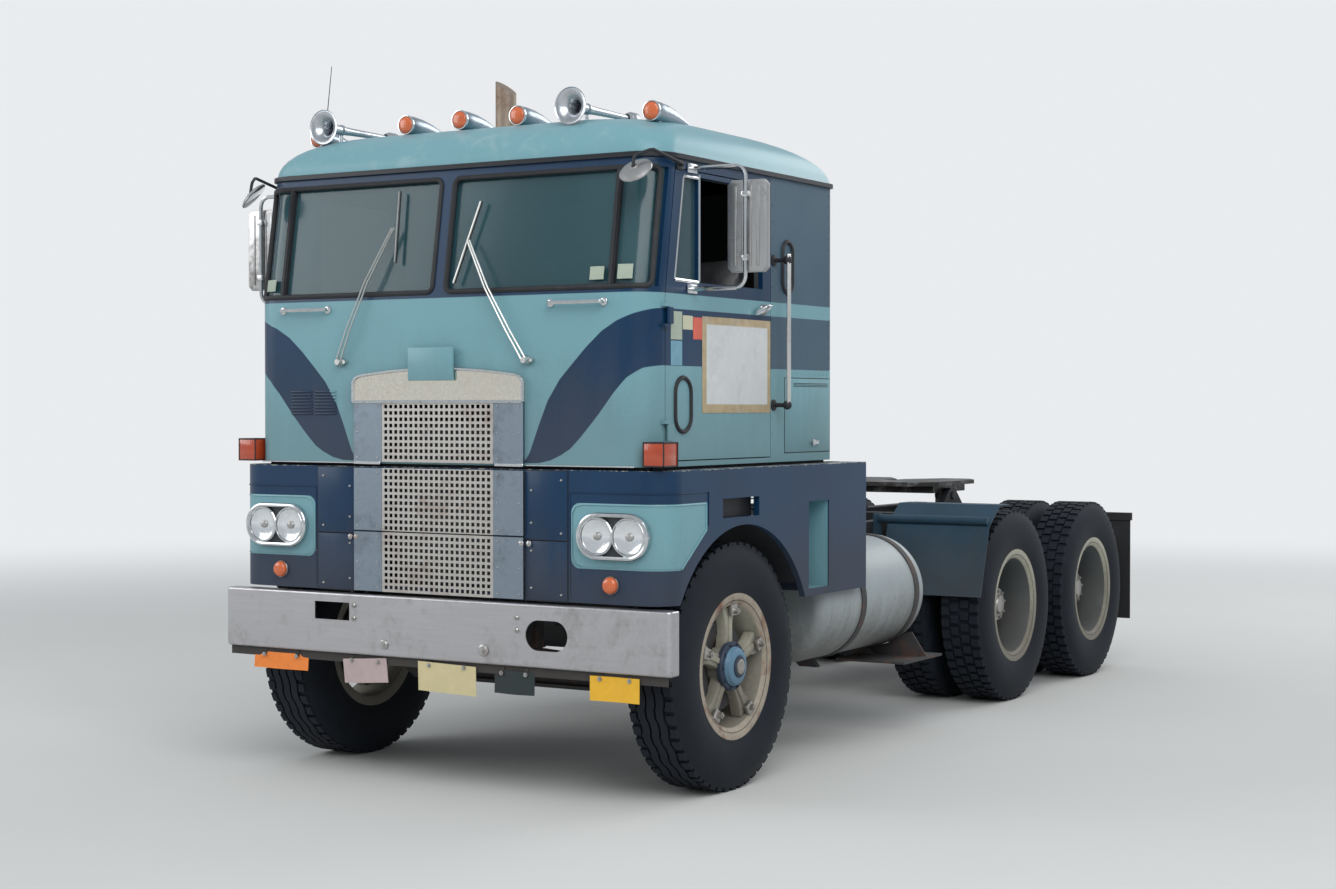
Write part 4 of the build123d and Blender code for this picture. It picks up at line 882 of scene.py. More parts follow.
driveWheel = {  # two rims on one hub; along is measured from the truck's middle
    "outer": 0.99, "inner": 0.645, "spokes": (0.8, 0.06, 0.872),
    "spacer": ((0.765, 0.264), (0.765, 0.284), (0.87, 0.284), (0.87, 0.264)),
    "hub": ((0.665, 0.0), (0.665, 0.098), (0.8, 0.102), (0.872, 0.098), (0.884, 0.084), (0.99, 0.076), (0.99, 0.0)),
    "flange": ((0.988, 0.0), (0.988, 0.092), (1.0, 0.092), (1.003, 0.058), (1.018, 0.05), (1.022, 0.03),
               (1.022, 0.0)),
    "drum": ((0.585, 0.12), (0.585, 0.205), (0.6, 0.208), (0.74, 0.205), (0.76, 0.198), (0.76, 0.12)),
    "nutFace": 0.999, "nuts": (8, 10, 0.076, 0.01, 0.012),
}


def makeDriveWheel(row, side):
    station = axles[row]
    centre = at(0, station, wheelHeight)
    name = f"wheel_{row}_{side}"
    casting, fittings, lip, drum, rubber = (bmesh.new() for _ in range(5))
    addRim(casting, driveWheel["outer"], station)
    addLip(lip, driveWheel["outer"], station)
    addRim(casting, driveWheel["inner"], station)
    addTurned(casting, driveWheel["spacer"], centre, "X", rimShape["steps"])
    inner, thickness, clamp = driveWheel["spokes"]
    addSpider(casting, fittings, inner, station, thickness, clamp)
    addTurned(casting, driveWheel["hub"], centre, "X", 40, False)
    addTurned(fittings, driveWheel["flange"], centre, "X", 40, False)
    addNutCircle(fittings, driveWheel["nutFace"], station, driveWheel["nuts"])
    addTurned(drum, driveWheel["drum"], centre)
    for x in (driveWheel["outer"], driveWheel["inner"]):
        addTyre(rubber, x, station, "drive")
    turnOver(side, casting, fittings, lip, drum, rubber)
    finishPiece(f"{name}_spider", casting, "driveCream", name, [name], 35, 1e-5)
    for word, bm, finish, slot, smooth in (
        ("flange", lip, "castCream", "wheel_cream", 35), ("clamps", fittings, "wheelNuts", "bright_steel", 30),
        ("drum", drum, "castDark", "cast_dark", 35),
    ):
        finishPiece(f"{name}_{word}", bm, finish, name, (), smooth, 1e-5)
    finishPiece(f"tyres_{row}_{side}_lugged", rubber, "tyre" + row.title(), name,
                [f"tyres_{row}_{side}"], 32, 1e-5)


# Points on the cab's skin: along is the distance round from the centre line

def leanAt(z):  # how far back the front has leaned at a height
    return max(z - cabSkin["belt"], 0.0) * cabSkin["lean"]


def onSkin(along, z, out=0.0):
    side = 1 if along >= 0 else -1
    away, radius = abs(along), cabSkin["corner"] + out
    if away < cabSkin["turn"]:
        return at(side * away, cabSkin["nose"] + leanAt(z) - out, z)
    angle = (away - cabSkin["turn"]) / cabSkin["corner"]
    back = cabSkin["cornerBack"] + leanAt(z)
    if angle < math.pi / 2:
        return at(side * (cabSkin["turn"] + radius * math.sin(angle)), back - radius * math.cos(angle), z)
    return at(side * (cabSkin["half"] + out), back + away - cabSkin["turn"] - cabSkin["corner"] * math.pi / 2, z)


def addSlab(bm, columns, rows):  # a flat grid and its lifted copy, joined round the rim
    grid = bmesh.ops.create_grid(bm, x_segments=columns, y_segments=rows, size=0.5)["verts"]
    faces = list({face for vert in grid for face in vert.link_faces})
    return list(grid), vertsOf(bmesh.ops.extrude_face_region(bm, geom=faces)["geom"])


def addSkinStrip(bm, along, z, out, step):
    # a flat bar laid on the cab's skin: along and z are its (low, high), out its (low, high) height
    low, lifted = addSlab(bm, max(1, int(abs(along[1] - along[0]) / step)), 1)
    raised = set(lifted)
    for vert in low + lifted:
        a = along[0] + (vert.co.x + 0.5) * (along[1] - along[0])
        up = z[0] + (vert.co.y + 0.5) * (z[1] - z[0])
        vert.co = onSkin(a, up, out[1] if vert in raised else out[0])


# The roof: a crowned shell that narrows upwards, over a rain gutter

roof = {"half": (1.085, 0.284), "front": (0.13, 0.274), "back": (1.766, 0.7), "frontCorner": (0.14, 0.3),
        "backCorner": (0.045, 0.3), "base": 2.755, "rise": 0.208, "power": 2.24, "thickness": 0.035,
        "gutter": ((0.0, 0.0), (0.014, 0.0), (0.014, 0.019), (0.011, 0.021), (0.008, 0.0185), (0.002, 0.0185)),
        "levels": (0.12, 0.25, 0.38, 0.5, 0.62, 0.72, 0.8, 0.87, 0.92, 0.96, 0.985, 1.0),
        "liningLevels": (1.0, 0.9, 0.7, 0.4, 0.0)}
whip = {"foot": (-0.985, -2.64, 2.885), "tip": (-0.93, -2.64, 3.33), "radii": (0.0028, 0.0016),
        "base": ((-0.02, 0.0), (-0.02, 0.022), (0.004, 0.02), (0.016, 0.01), (0.03, 0.006), (0.03, 0.0))}


def addRoofRing(bm, level, out=0.0, z=None):
    # one level of the shell as a closed line; out widens it, and may be negative
    share = 1 - (1 - level ** roof["power"]) ** (1 / roof["power"])
    half = roof["half"][0] - roof["half"][1] * share + out
    low = roof["front"][0] + roof["front"][1] * share - out
    high = roof["back"][0] - roof["back"][1] * share + out
    corners = [max(0.01, min(roof[name][0] + roof[name][1] * share + out, (high - low) / 2 - 0.008))
               for name in ("frontCorner", "backCorner")]
    verts = []
    for side, end, turn, radius in ((1, low, -90, corners[0]), (1, high, 0, corners[1]), (-1, high, 90, corners[1]),
                                    (-1, low, 180, corners[0])):
        middle = low + radius if end == low else high - radius
        for number in range(9):
            angle = math.radians(turn + 90 * number / 8)
            spot = at(side * (half - radius) + radius * math.cos(angle), middle + radius * math.sin(angle),
                      roof["base"] + roof["rise"] * level if z is None else z)
            verts.append(bm.verts.new(spot))
    edges = [bm.edges.new(pair) for pair in zip(verts, verts[1:] + verts[:1])]
    return verts, edges


def makeRoof():
    bm = bmesh.new()
    inward = roof["thickness"]
    rings = [addRoofRing(bm, level, -inward, roof["base"] + (roof["rise"] - inward) * level)
             for level in roof["liningLevels"]]
    rings += [addRoofRing(bm, 0.0, out, roof["base"] + up) for out, up in roof["gutter"]]
    rings += [addRoofRing(bm, level) for level in roof["levels"]]
    for (_, first), (_, second) in zip(rings, rings[1:]):
        bmesh.ops.bridge_loops(bm, edges=first + second)
    bm.faces.new(rings[0][0])
    bm.faces.new(rings[-1][0])
    finishPiece("cab_roof_shell", bm, "roof", "cab", ["cab_roof"], 28, 1e-6)
    rod = bmesh.new()
    foot, tip = Vector(whip["foot"]), Vector(whip["tip"])
    addRod(rod, foot, tip, whip["radii"][0], 8, whip["radii"][1])
    addTurned(rod, whip["base"], foot, "Z", 20, False)
    finishPiece("radio_whip", rod, "frame", "cab", (), 40, 1e-6)


# The grille: square-hole mesh between aluminium strips

grille = {"half": 0.311, "strip": 0.466, "pitch": 0.0283, "bar": 0.0118, "depth": 0.004, "face": 0.026}


def addMesh(bm, x, z, columns, rows, station):
    # a grid whose lines alternate bar and hole; the holes' faces go
    nx, nz = 2 * columns + 1, 2 * rows + 1
    grid = bmesh.ops.create_grid(bm, x_segments=nx, y_segments=nz, size=0.5)["verts"]
    faces = list({face for vert in grid for face in vert.link_faces})
    holes = []
    for face in faces:
        centre = face.calc_center_median()
        if int((centre.x + 0.5) * nx) % 2 and int((centre.y + 0.5) * nz) % 2:
            holes.append(face)

    def spread(index, low, high, count):
        hole = grille["pitch"] - grille["bar"]
        margin = (high - low - count * grille["pitch"] + grille["bar"]) / 2
        if index == 0:
            return low
        if index == 2 * count + 1:
            return high
        cell, second = divmod(index - 1, 2)
        return low + margin + cell * grille["pitch"] + (hole if second else 0)

    for vert in grid:
        vert.co = at(spread(round((vert.co.x + 0.5) * nx), *x, columns), station,
                     spread(round((vert.co.y + 0.5) * nz), *z, rows))
    bmesh.ops.delete(bm, geom=holes, context="FACES")
    kept = [face for face in faces if face.is_valid]
    grown = bmesh.ops.extrude_face_region(bm, geom=kept)["geom"]
    bmesh.ops.translate(bm, vec=(0, grille["depth"], 0), verts=vertsOf(grown))


def makeGrille():
    face = grille["face"]
    for name, bands, body, node in (
        ("upper_grille_mesh", ((1.452, 1.722, 9),), "cab", "upper_grille"),
        ("lower_grille_mesh", ((1.142, 1.424, 10), (0.868, 1.136, 9)), "root", "lower_grille"),
    ):
        mesh, strips, screws = bmesh.new(), bmesh.new(), bmesh.new()
        for low, high, rows in bands:
            addMesh(mesh, (-grille["half"], grille["half"]), (low, high), 21, rows, face)
            for side in (-1, 1):
                x = sorted((side * (grille["half"] - 0.004), side * grille["strip"]))
                addBlock(strips, x, (face - 0.0025, face + 0.0135), (low, high), 0.0012, 1)
                points = [at(side * across, face - 0.0025, low + 0.02 + (high - low - 0.04) * part)
                          for across in (0.33, 0.446) for part in (0.0, 0.5, 1.0)]
                addRivets(screws, points, (0, -1, 0), 0.0055)
        finishPiece(name, mesh, "grille", body, [node])
        finishPiece(name.replace("mesh", "strips"), strips, "stripMetal", body)
        finishPiece(name.replace("mesh", "screws"), screws, "screws", body)
    makeHeader()


header = {
    "half": 0.466, "low": 1.722, "shoulder": ((0.0, 1.806), (0.012, 1.826), (0.034, 1.838)),
    "crown": (1.838, 0.03, 0.43), "crownAt": (0.36, 0.24, 0.12, 0.0, -0.12, -0.24, -0.36),
    "border": 0.008, "rivets": (-0.4, -0.24, -0.08, 0.08, 0.24, 0.4),
}


def makeHeader():
    # the polished header, its rolled border, and the blank plate that stands on it
    sheet, border, plate = bmesh.new(), bmesh.new(), bmesh.new()
    half, low = header["half"], header["low"]
    base, rise, reach = header["crown"]
    arch = [(-half, low), (half, low)] + [(half - a, z) for a, z in header["shoulder"]]
    arch += [(x, base + rise * (1 - (x / reach) ** 2)) for x in header["crownAt"]]
    arch += [(a - half, z) for a, z in header["shoulder"][::-1]]
    addPlate(sheet, arch, at(0, 0.039, 0), (1, 0, 0), (0, 0, 1), 0.018)
    route = [at(x, 0.02, z) for x, z in arch]
    addTube(border, route[1:] + route[:1], header["border"], 0, 8)
    addTube(border, [at(-half, 0.02, low), at(half, 0.02, low)], header["border"], 0, 8)
    addRivets(border, [at(x, 0.0125, low) for x in header["rivets"]], (0, -1, 0))
    addBlock(plate, (-0.143, 0.105), (0.004, 0.018), (1.815, 1.962), 0.004)
    addBlock(plate, (-0.1, 0.062), (0.018, 0.04), (1.83, 1.95), 0.002)
    finishPiece("grille_header", sheet, "polished", "cab", (), 20)
    finishPiece("grille_header_border", border, "chrome", "cab")
    finishPiece("grille_blank_plate", plate, "cab", "cab")


# Bumper fittings and the five blank plates under it

plates = (  # centre x, centre z, width, height, tilt, finish
    (-0.892, 0.523, 0.325, 0.075, 0.0, "plateOrange"), (-0.394, 0.508, 0.25, 0.11, -4.0, "platePale"),
    (0.065, 0.502, 0.316, 0.131, 1.5, "plateYellowOld"), (0.425, 0.508, 0.212, 0.101, 0.0, "plateBlack"),
    (0.941, 0.513, 0.246, 0.105, 0.0, "plateYellow"),
)


bumperBolts = (  # x, z, radius
    (-0.274, 0.634, 0.022), (0.274, 0.64, 0.026), (-0.448, 0.802, 0.012), (-0.448, 0.744, 0.012),
    (0.448, 0.792, 0.012), (0.448, 0.738, 0.012),
)


def makeBumperFittings():
    bolts = bmesh.new()
    for x, z, size in bumperBolts:
        addTurned(bolts, ((0.0, 0.0), (0.0, size), (-0.006, size), (-0.01, size * 0.75), (-0.01, 0.0)),
                  at(x, 0.0, z), "Y", 20, False)
        addNut(bolts, at(x, -0.009, z), (0, -1, 0), size * 0.5, 0.006)
    finishPiece("bumper_bolts", bolts, "screws", "root", (), 30, 1e-5)
    for number, (x, z, width, height, tilt, finish) in enumerate(plates):
        bm = bmesh.new()
        grid = bmesh.ops.create_grid(bm, x_segments=10, y_segments=6, size=0.5)["verts"]
        draw = Random(40 + number)
        lift = [draw.uniform(-1, 1) for _ in range(4)]
        for vert in grid:
            u, v = vert.co.x, vert.co.y
            bend = 0.0045 * (lift[0] * math.sin(5 * u + 1) + lift[1] * v * 2 + lift[2] * math.cos(7 * u))
            vert.co = Vector((u * width, bend, v * height))
        bmesh.ops.rotate(bm, cent=(0, 0, 0), matrix=Matrix.Rotation(math.radians(tilt), 3, "Y"), verts=grid)
        bmesh.ops.translate(bm, vec=at(x, 0.012, z), verts=grid)
        bmesh.ops.solidify(bm, geom=bm.faces[:], thickness=0.0015)
        finishPiece(f"blank_plate_{number + 1}", bm, finish, "root", (), 40)
    tabs, heads = bmesh.new(), bmesh.new()
    for x, z, width, height, _, _ in plates:
        top = z + height / 2
        for part in (-0.3, 0.3):
            addBlock(tabs, (x + part * width - 0.012, x + part * width + 0.012), (0.014, 0.0185),
                     (top - 0.012, 0.575), 0.001, 1)
            addNut(heads, at(x + part * width, 0.01, top - 0.012), (0, -1, 0), 0.008, 0.006)
    finishPiece("plate_tabs", tabs, "frame", "root")
    finishPiece("plate_bolts", heads, "screws", "root")


# Lamps

headlamp = {"middle": 0.924, "centres": (0.844, 1.004), "height": 1.153, "plateWidth": 0.36, "plateHeight": 0.2,
            "face": 0.0395, "sink": 0.006, "lens": 0.073}


def makeHeadlamps():
    # an oval bright rim, a dark plate in it, and two lamps with a bowl behind each clear lens
    rims, plate, bowls, lenses, bulbs = (bmesh.new() for _ in range(5))
    face, height, radius = headlamp["face"], headlamp["height"], headlamp["lens"]
    for side in (-1, 1):
        centre = side * headlamp["middle"]
        rings = []
        for shrink, depth in ((0.0, 0.0), (0.0, -0.024), (0.003, -0.0285), (0.01, -0.03), (0.017, -0.0275),
                              (0.019, -0.022), (0.019, -0.004)):
            pairs = ovalOutline(headlamp["plateWidth"] - 2 * shrink, headlamp["plateHeight"] - 2 * shrink, 14)
            loop = [rims.verts.new(at(centre + a, face + depth, height + b)) for a, b in pairs]
            rings.append([rims.edges.new(pair) for pair in zip(loop, loop[1:] + loop[:1])])
        for first, second in zip(rings, rings[1:]):
            bmesh.ops.bridge_loops(rims, edges=first + second)
        inner = ovalOutline(headlamp["plateWidth"] - 0.036, headlamp["plateHeight"] - 0.036, 14)
        addPlate(plate, inner, at(centre, face - 0.002, height), (1, 0, 0), (0, 0, 1), 0.006)
        for x in headlamp["centres"]:
            spot = at(side * x, headlamp["sink"], height)
            ring = ((0.0265, radius + 0.012), (0.01, radius + 0.011), (0.0055, radius + 0.007),
                    (0.006, radius + 0.002),
                    (0.012, radius + 0.0005), (0.0265, radius + 0.0005))
            addTurned(rims, ring, spot, "Y", 44)
            bowl = ((0.0125, radius), (0.0165, radius - 0.006), (0.0205, radius * 0.72), (0.0225, radius * 0.42),
                    (0.023, 0.016))
            addTurned(bowls, bowl, spot, "Y", 44, False)
            addTurned(bulbs, ((0.0232, 0.0), (0.0232, 0.018), (0.015, 0.017), (0.011, 0.012), (0.01, 0.0)), spot, "Y",
                      20, False)
            glass = ((0.012, radius + 0.001), (0.0065, radius - 0.006), (0.0015, radius * 0.72),
                     (-0.0018, radius * 0.4),
                     (-0.003, 0.0))
            addTurned(lenses, glass, spot, "Y", 44, False)
    finishPiece("headlamp_rims", rims, "chrome", "root", ["headlamps"], 30, 1e-5)
    finishPiece("headlamp_plates", plate, "lampPlate", "root")
    finishPiece("headlamp_bowls", bowls, "reflector", "root", (), 60, 1e-5)
    finishPiece("headlamp_bulb_shields", bulbs, "wheelNuts", "root", (), 40, 1e-5)
    finishPiece("headlamp_lenses", lenses, "lensClear", "root", (), 60, 1e-5)


smallLamp = {"turn": (0.907, 0.947), "tailX": (0.33, 0.45), "tailZ": 0.975, "tailBack": 6.0795}


def makeSmallLamps():
    amber, red, rings = bmesh.new(), bmesh.new(), bmesh.new()
    for side in (-1, 1):
        spot = at(side * smallLamp["turn"][0], 0.0, smallLamp["turn"][1])
        addTurned(amber, ((0.036, 0.0), (0.036, 0.035), (0.022, 0.035), (0.014, 0.03), (0.01, 0.016), (0.009, 0.0)),
                  spot, "Y", 32, False)
        addTurned(rings, ((0.039, 0.035), (0.039, 0.04), (0.034, 0.0405), (0.03, 0.038), (0.031, 0.035)), spot, "Y",
                  32)
        for x in smallLamp["tailX"]:
            spot = at(side * x, smallLamp["tailBack"], smallLamp["tailZ"])
            addTurned(red, ((0.0, 0.0), (0.0, 0.044), (0.012, 0.044), (0.021, 0.037), (0.025, 0.02), (0.026, 0.0)),
                      spot, "Y", 32, False)
            addTurned(rings, ((0.0, 0.044), (0.0, 0.05), (0.013, 0.05), (0.017, 0.046), (0.015, 0.0425)), spot, "Y",
                      32)
    finishPiece("turn_lamp_lenses", amber, "amber", "root", ["small_lamps"], 50, 1e-5)
    finishPiece("tail_lamp_lenses", red, "red", "root", (), 50, 1e-5)
    finishPiece("small_lamp_rings", rings, "screws", "root", (), 40, 1e-5)


roofLamp = {"places": ((-0.93, 2.974), (-0.403, 3.003), (-0.095, 3.005), (0.225, 3.003), (0.927, 2.974)),
            "front": 0.33, "length": 0.35, "droop": 0.042,
            "shell": ((0.0, 0.039), (0.01, 0.0435), (0.05, 0.0445), (0.11, 0.0425), (0.17, 0.0365),
                      (0.23, 0.0275), (0.29, 0.0175), (0.335, 0.0085), (0.35, 0.0))}
cornerLamp = {"x": (1.066, 1.165), "station": (0.036, 0.15), "z": (1.45, 1.548), "bars": (1.447, 1.546),
              "posts": ((1.064, 0.034), (1.163, 0.034), (1.163, 0.1475))}


def makeRoofLamps():
    # torpedo shells whose tails sink into the crown, with a ribbed amber lens in a bright rim
    shells, lenses, rims = (bmesh.new() for _ in range(3))
    for x, z in roofLamp["places"]:
        centre = at(x, roofLamp["front"], z)
        start = set(shells.verts)
        addTurned(shells, roofLamp["shell"], centre, "Y", 32, False)
        for vert in shells.verts:
            if vert not in start:
                part = max(0.0, (vert.co.y - centre.y) / roofLamp["length"])
                vert.co.z -= roofLamp["droop"] * part ** 1.8
        addBlock(shells, (x - 0.018, x + 0.018), (0.37, 0.47), (z - 0.062, z - 0.034), 0.005)
        glass = ((0.002, 0.0385), (-0.004, 0.0375), (-0.009, 0.03), (-0.012, 0.018), (-0.013, 0.0))
        addTurned(lenses, glass, centre, "Y", 32, False)
        addTurned(rims, ((0.004, 0.038), (-0.004, 0.04), (-0.003, 0.0445), (0.006, 0.0455), (0.01, 0.043)), centre,
                  "Y", 32)
    finishPiece("roof_lamp_shells", shells, "lampShell", "cab", ["marker_lamps"], 35, 1e-5)
    finishPiece("roof_lamp_lenses", lenses, "amber", "cab", (), 35, 1e-5)
    finishPiece("roof_lamp_rims", rims, "chrome", "cab", (), 50, 1e-5)
    makeCornerLamps()


def makeCornerLamps():
    housings, corner = bmesh.new(), bmesh.new()
    addPair(corner, cornerLamp["x"], cornerLamp["station"], cornerLamp["z"], 0.004)
    for z in cornerLamp["bars"]:
        addPair(housings, (1.066, 1.168), (0.034, 0.152), (z, z + 0.006), 0.001, 1)
    for x, station in cornerLamp["posts"]:
        addPair(housings, (x, x + 0.005), (station, station + 0.005), (1.447, 1.552), 0.001, 1)
    finishPiece("corner_lamp_lenses", corner, "deepAmber", "cab")
    finishPiece("corner_lamp_frames", housings, "frame", "cab")


horn = {"x": (-0.8, 0.585), "mouthStation": 0.215, "z": 3.006, "mouth": 0.082}


def makeHorns():
    bells, legs = bmesh.new(), bmesh.new()
    mouth = horn["mouth"]
    for x in horn["x"]:
        centre = at(x, horn["mouthStation"], horn["z"])
        outer = ((0.004, mouth - 0.004), (0.0, mouth), (0.005, mouth - 0.002), (0.012, mouth * 0.78),
                 (0.028, mouth * 0.54), (0.05, 0.034), (0.09, 0.0235), (0.2, 0.018), (0.468, 0.0135), (0.476, 0.022),
                 (0.49, 0.0305), (0.532, 0.0305), (0.541, 0.024), (0.541, 0.0))
        inside = ((0.2, 0.0), (0.13, 0.012), (0.085, 0.018), (0.045, 0.029), (0.024, mouth * 0.5),
                  (0.01, mouth * 0.74), (0.004, mouth - 0.007))
        addTurned(bells, list(inside) + list(outer), centre, "Y", 44, False)
        for back in (0.13, 0.48):
            addRod(legs, at(x, horn["mouthStation"] + back, 2.925), centre + Vector((0, back, 0)), 0.0095)
            addTurned(legs, ((0.0, 0.019), (0.014, 0.026), (0.026, 0.026), (0.04, 0.019)),
                      centre + Vector((0, back - 0.02, 0)), "Y", 20)
    finishPiece("air_horn_bells", bells, "hornMetal", "cab", ["air_horns"], 40, 1e-5)
    finishPiece("air_horn_legs", legs, "hornMetal", "cab", (), 40)


# Windshield gaskets, posts, wipers and the front's small fittings

windshield = {"low": 2.205, "high": 2.712, "inner": 0.036, "outer": 1.086, "divider": 0.9, "corner": 0.032}


def makeGaskets():
    # a rubber bead round each half of the glass, and a slim divider before the corner pane
    rubber = bmesh.new()
    low, high, corner = windshield["low"], windshield["high"], windshield["corner"]
    for side in (-1, 1):
        a0, a1 = windshield["inner"], windshield["outer"]
        pairs = []
        for a, z, turn in ((a1 - corner, low + corner, -90), (a1 - corner, high - corner, 0),
                           (a0 + corner, high - corner, 90), (a0 + corner, low + corner, 180)):
            for number in range(6):
                angle = math.radians(turn + 90 * number / 5)
                pairs.append((a + corner * math.cos(angle), z + corner * math.sin(angle)))
        spaced = []
        for (a, z), (b, y) in zip(pairs, pairs[1:] + pairs[:1]):
            count = max(1, int(math.hypot(b - a, y - z) / 0.03))
            spaced += [(a + (b - a) * part / count, z + (y - z) * part / count) for part in range(count)]
        addTube(rubber, [onSkin(side * a, z, -0.002) for a, z in spaced], 0.0125, 0.0, 12, closed=True)
        d = windshield["divider"]
        addSkinStrip(rubber, sorted((side * (d - 0.013), side * (d + 0.013))), (low, high), (-0.02, 0.004), 0.01)
        addSkinStrip(rubber, sorted((side * (d - 0.006), side * (d + 0.006))), (low, high), (0.003, 0.008), 0.01)
    finishPiece("windshield_gaskets", rubber, "gasket", "cab")


wiper = {
    "pairs": (  # pivot, elbow and the blade's two ends, as (x, z)
        ((-0.549, 1.902), (-0.27, 2.503), ((-0.259, 2.668), (-0.248, 2.346))),
        ((0.479, 1.899), (0.156, 2.428), ((0.199, 2.6), (0.09, 2.242))),
    ),
    # share of the arm, and its height over the skin
    "rise": ((0.0, 0.026), (0.25, 0.036), (0.6, 0.04), (1.0, 0.026)),
    "spread": 0.012, "armRadius": 0.0042, "bladeRadius": 0.0055,
    "boss": ((0.04, 0.0), (0.04, 0.022), (0.026, 0.022), (0.014, 0.015), (0.006, 0.013), (0.006, 0.0)),
}


def makeWipers():
    arms, blades = bmesh.new(), bmesh.new()
    for pivot, elbow, tips in wiper["pairs"]:
        for spread in (-wiper["spread"], wiper["spread"]):
            route = []
            for part, out in wiper["rise"]:
                x = pivot[0] + (elbow[0] - pivot[0]) * part
                z = pivot[1] + (elbow[1] - pivot[1]) * part
                route.append(at(x + spread * (1 - part * 0.5), cabSkin["nose"] + leanAt(z) - out, z))
            addTube(arms, route, wiper["armRadius"], 0.0, 8)
        addTurned(arms, wiper["boss"], at(pivot[0], 0.0, pivot[1]), "Y", 24, False)
        addRod(arms, at(pivot[0] + 0.034, 0.04, pivot[1]), at(pivot[0] + 0.034, 0.014, pivot[1]), 0.008)
        ends = [at(x, cabSkin["nose"] + leanAt(z) - 0.012, z) for x, z in tips]
        back = Vector((0, 0.006, 0))
        addTube(arms, [end - back for end in ends], 0.0045, 0.0, 8)
        addRod(blades, ends[0], ends[1], wiper["bladeRadius"], 6)
        addRod(blades, ends[0] + back, ends[1] + back, 0.003, 6)
    finishPiece("wiper_arms", arms, "wiperMetal", "cab", ["wipers"], 40)
    finishPiece("wiper_blades", blades, "gasket", "cab")


# Fittings on the cab's sides and doors

mirror = {
    "wall": 1.088, "out": 1.35, "station": 0.4, "levels": (2.722, 2.205), "tube": 0.0095, "bend": 0.05,
    "clamps": (2.33, 2.6), "middle": 2.466, "ribs": (-0.055, -0.018, 0.018, 0.055),
    "outline": ((-0.095, -0.176), (-0.075, -0.196), (0.075, -0.196), (0.095, -0.176),
                (0.095, 0.176), (0.075, 0.196), (-0.075, 0.196), (-0.095, 0.176)),
}


def makeMirrors():
    wall, out, station, (high, low) = mirror["wall"], mirror["out"], mirror["station"], mirror["levels"]
    for side in ("left", "right"):
        tubes, head, glass = bmesh.new(), bmesh.new(), bmesh.new()
        addTube(tubes, [at(wall, station, high), at(out, station, high), at(out, station, low),
                        at(wall, station, low)], mirror["tube"], mirror["bend"], 12)
        for z in mirror["levels"]:
            addBlock(tubes, (1.0855, 1.094), (0.36, 0.44), (z - 0.02, z + 0.02), 0.003)
            addRivets(tubes, [at(1.094, spot, z) for spot in (0.372, 0.428)], (1, 0, 0))
        for z in mirror["clamps"]:
            addBlock(tubes, (out - 0.016, out + 0.016), (0.388, 0.42), (z - 0.013, z + 0.013), 0.003)
        addPlate(head, mirror["outline"], at(out, 0.446, mirror["middle"]), (1, 0, 0), (0, 0, 1), 0.034, 0.006)
        for x in mirror["ribs"]:  # pressed down the back
            addBlock(head, (out + x - 0.007, out + x + 0.007), (0.409, 0.414), (2.295, 2.637), 0.003)
        face = [(a * 0.93, b * 0.965) for a, b in mirror["outline"]]
        addPlate(glass, face, at(out, 0.4475, mirror["middle"]), (1, 0, 0), (0, 0, 1), 0.002)
        turnOver(side, tubes, head, glass)
        for word, bm, finish, slot, covered in (
            ("arms", tubes, "chrome", "chrome_trim", [f"mirror_{side}"]),
            ("head", head, "mirrorBack", "mirror_steel", ()), ("glass", glass, "mirrorFace", "mirror_steel", ()),
        ):
            finishPiece(f"mirror_{side}_{word}", bm, finish, f"door_{side}", covered, 40)


spotMirror = {"place": (1.046, 0.01, 2.68), "tilt": 44.0, "radius": 0.074, "rightUp": (-0.626, -0.376, 0.68)}


def makeSpotMirrors():
    # round mirrors whose backs tip up to the front, each on a bent arm from the cab's side
    arms, backs, faces = bmesh.new(), bmesh.new(), bmesh.new()
    x, station, z = spotMirror["place"]
    radius = spotMirror["radius"]
    for sign in (1, -1):
        turn = Matrix.Rotation(math.radians(spotMirror["tilt"]), 3, "X")
        if sign < 0:
            turn = Vector((0, 0, 1)).rotation_difference(Vector(spotMirror["rightUp"])).to_matrix()
        centre = at(sign * x, station, z)
        back = ((-0.005, radius - 0.004), (-0.002, radius), (0.004, radius - 0.002), (0.011, radius * 0.8),
                (0.017, radius * 0.5), (0.02, 0.018), (0.026, 0.015), (0.026, 0.0))
        for bm, profile in ((backs, back), (faces, ((-0.0045, radius - 0.003), (-0.0065, radius * 0.6),
                                                    (-0.0075, 0.0)))):
            start = set(bm.verts)
            addTurned(bm, profile, centre, "Z", 40, False)
            turnNew(bm, start, centre, turn)
        wall = 1.0853
        addTube(arms, [at(sign * x, -0.012, z + 0.012), at(sign * x, -0.002, z + 0.06),
                       at(sign * (x + 0.045), 0.07, z + 0.092), at(sign * (x + 0.064), 0.3, z + 0.048),
                       at(sign * wall, 0.3, z + 0.048)], 0.007, 0.016, 12)
        addBlock(arms, sorted((sign * wall, sign * (wall + 0.006))), (0.272, 0.328), (z + 0.026, z + 0.07), 0.003)
    finishPiece("spot_mirror_arms", arms, "frame", "cab", ["spot_mirrors"], 40)
    finishPiece("spot_mirror_backs", backs, "mirrorBack", "cab", (), 40, 1e-5)
    finishPiece("spot_mirror_faces", faces, "mirrorFace", "cab", (), 40, 1e-5)


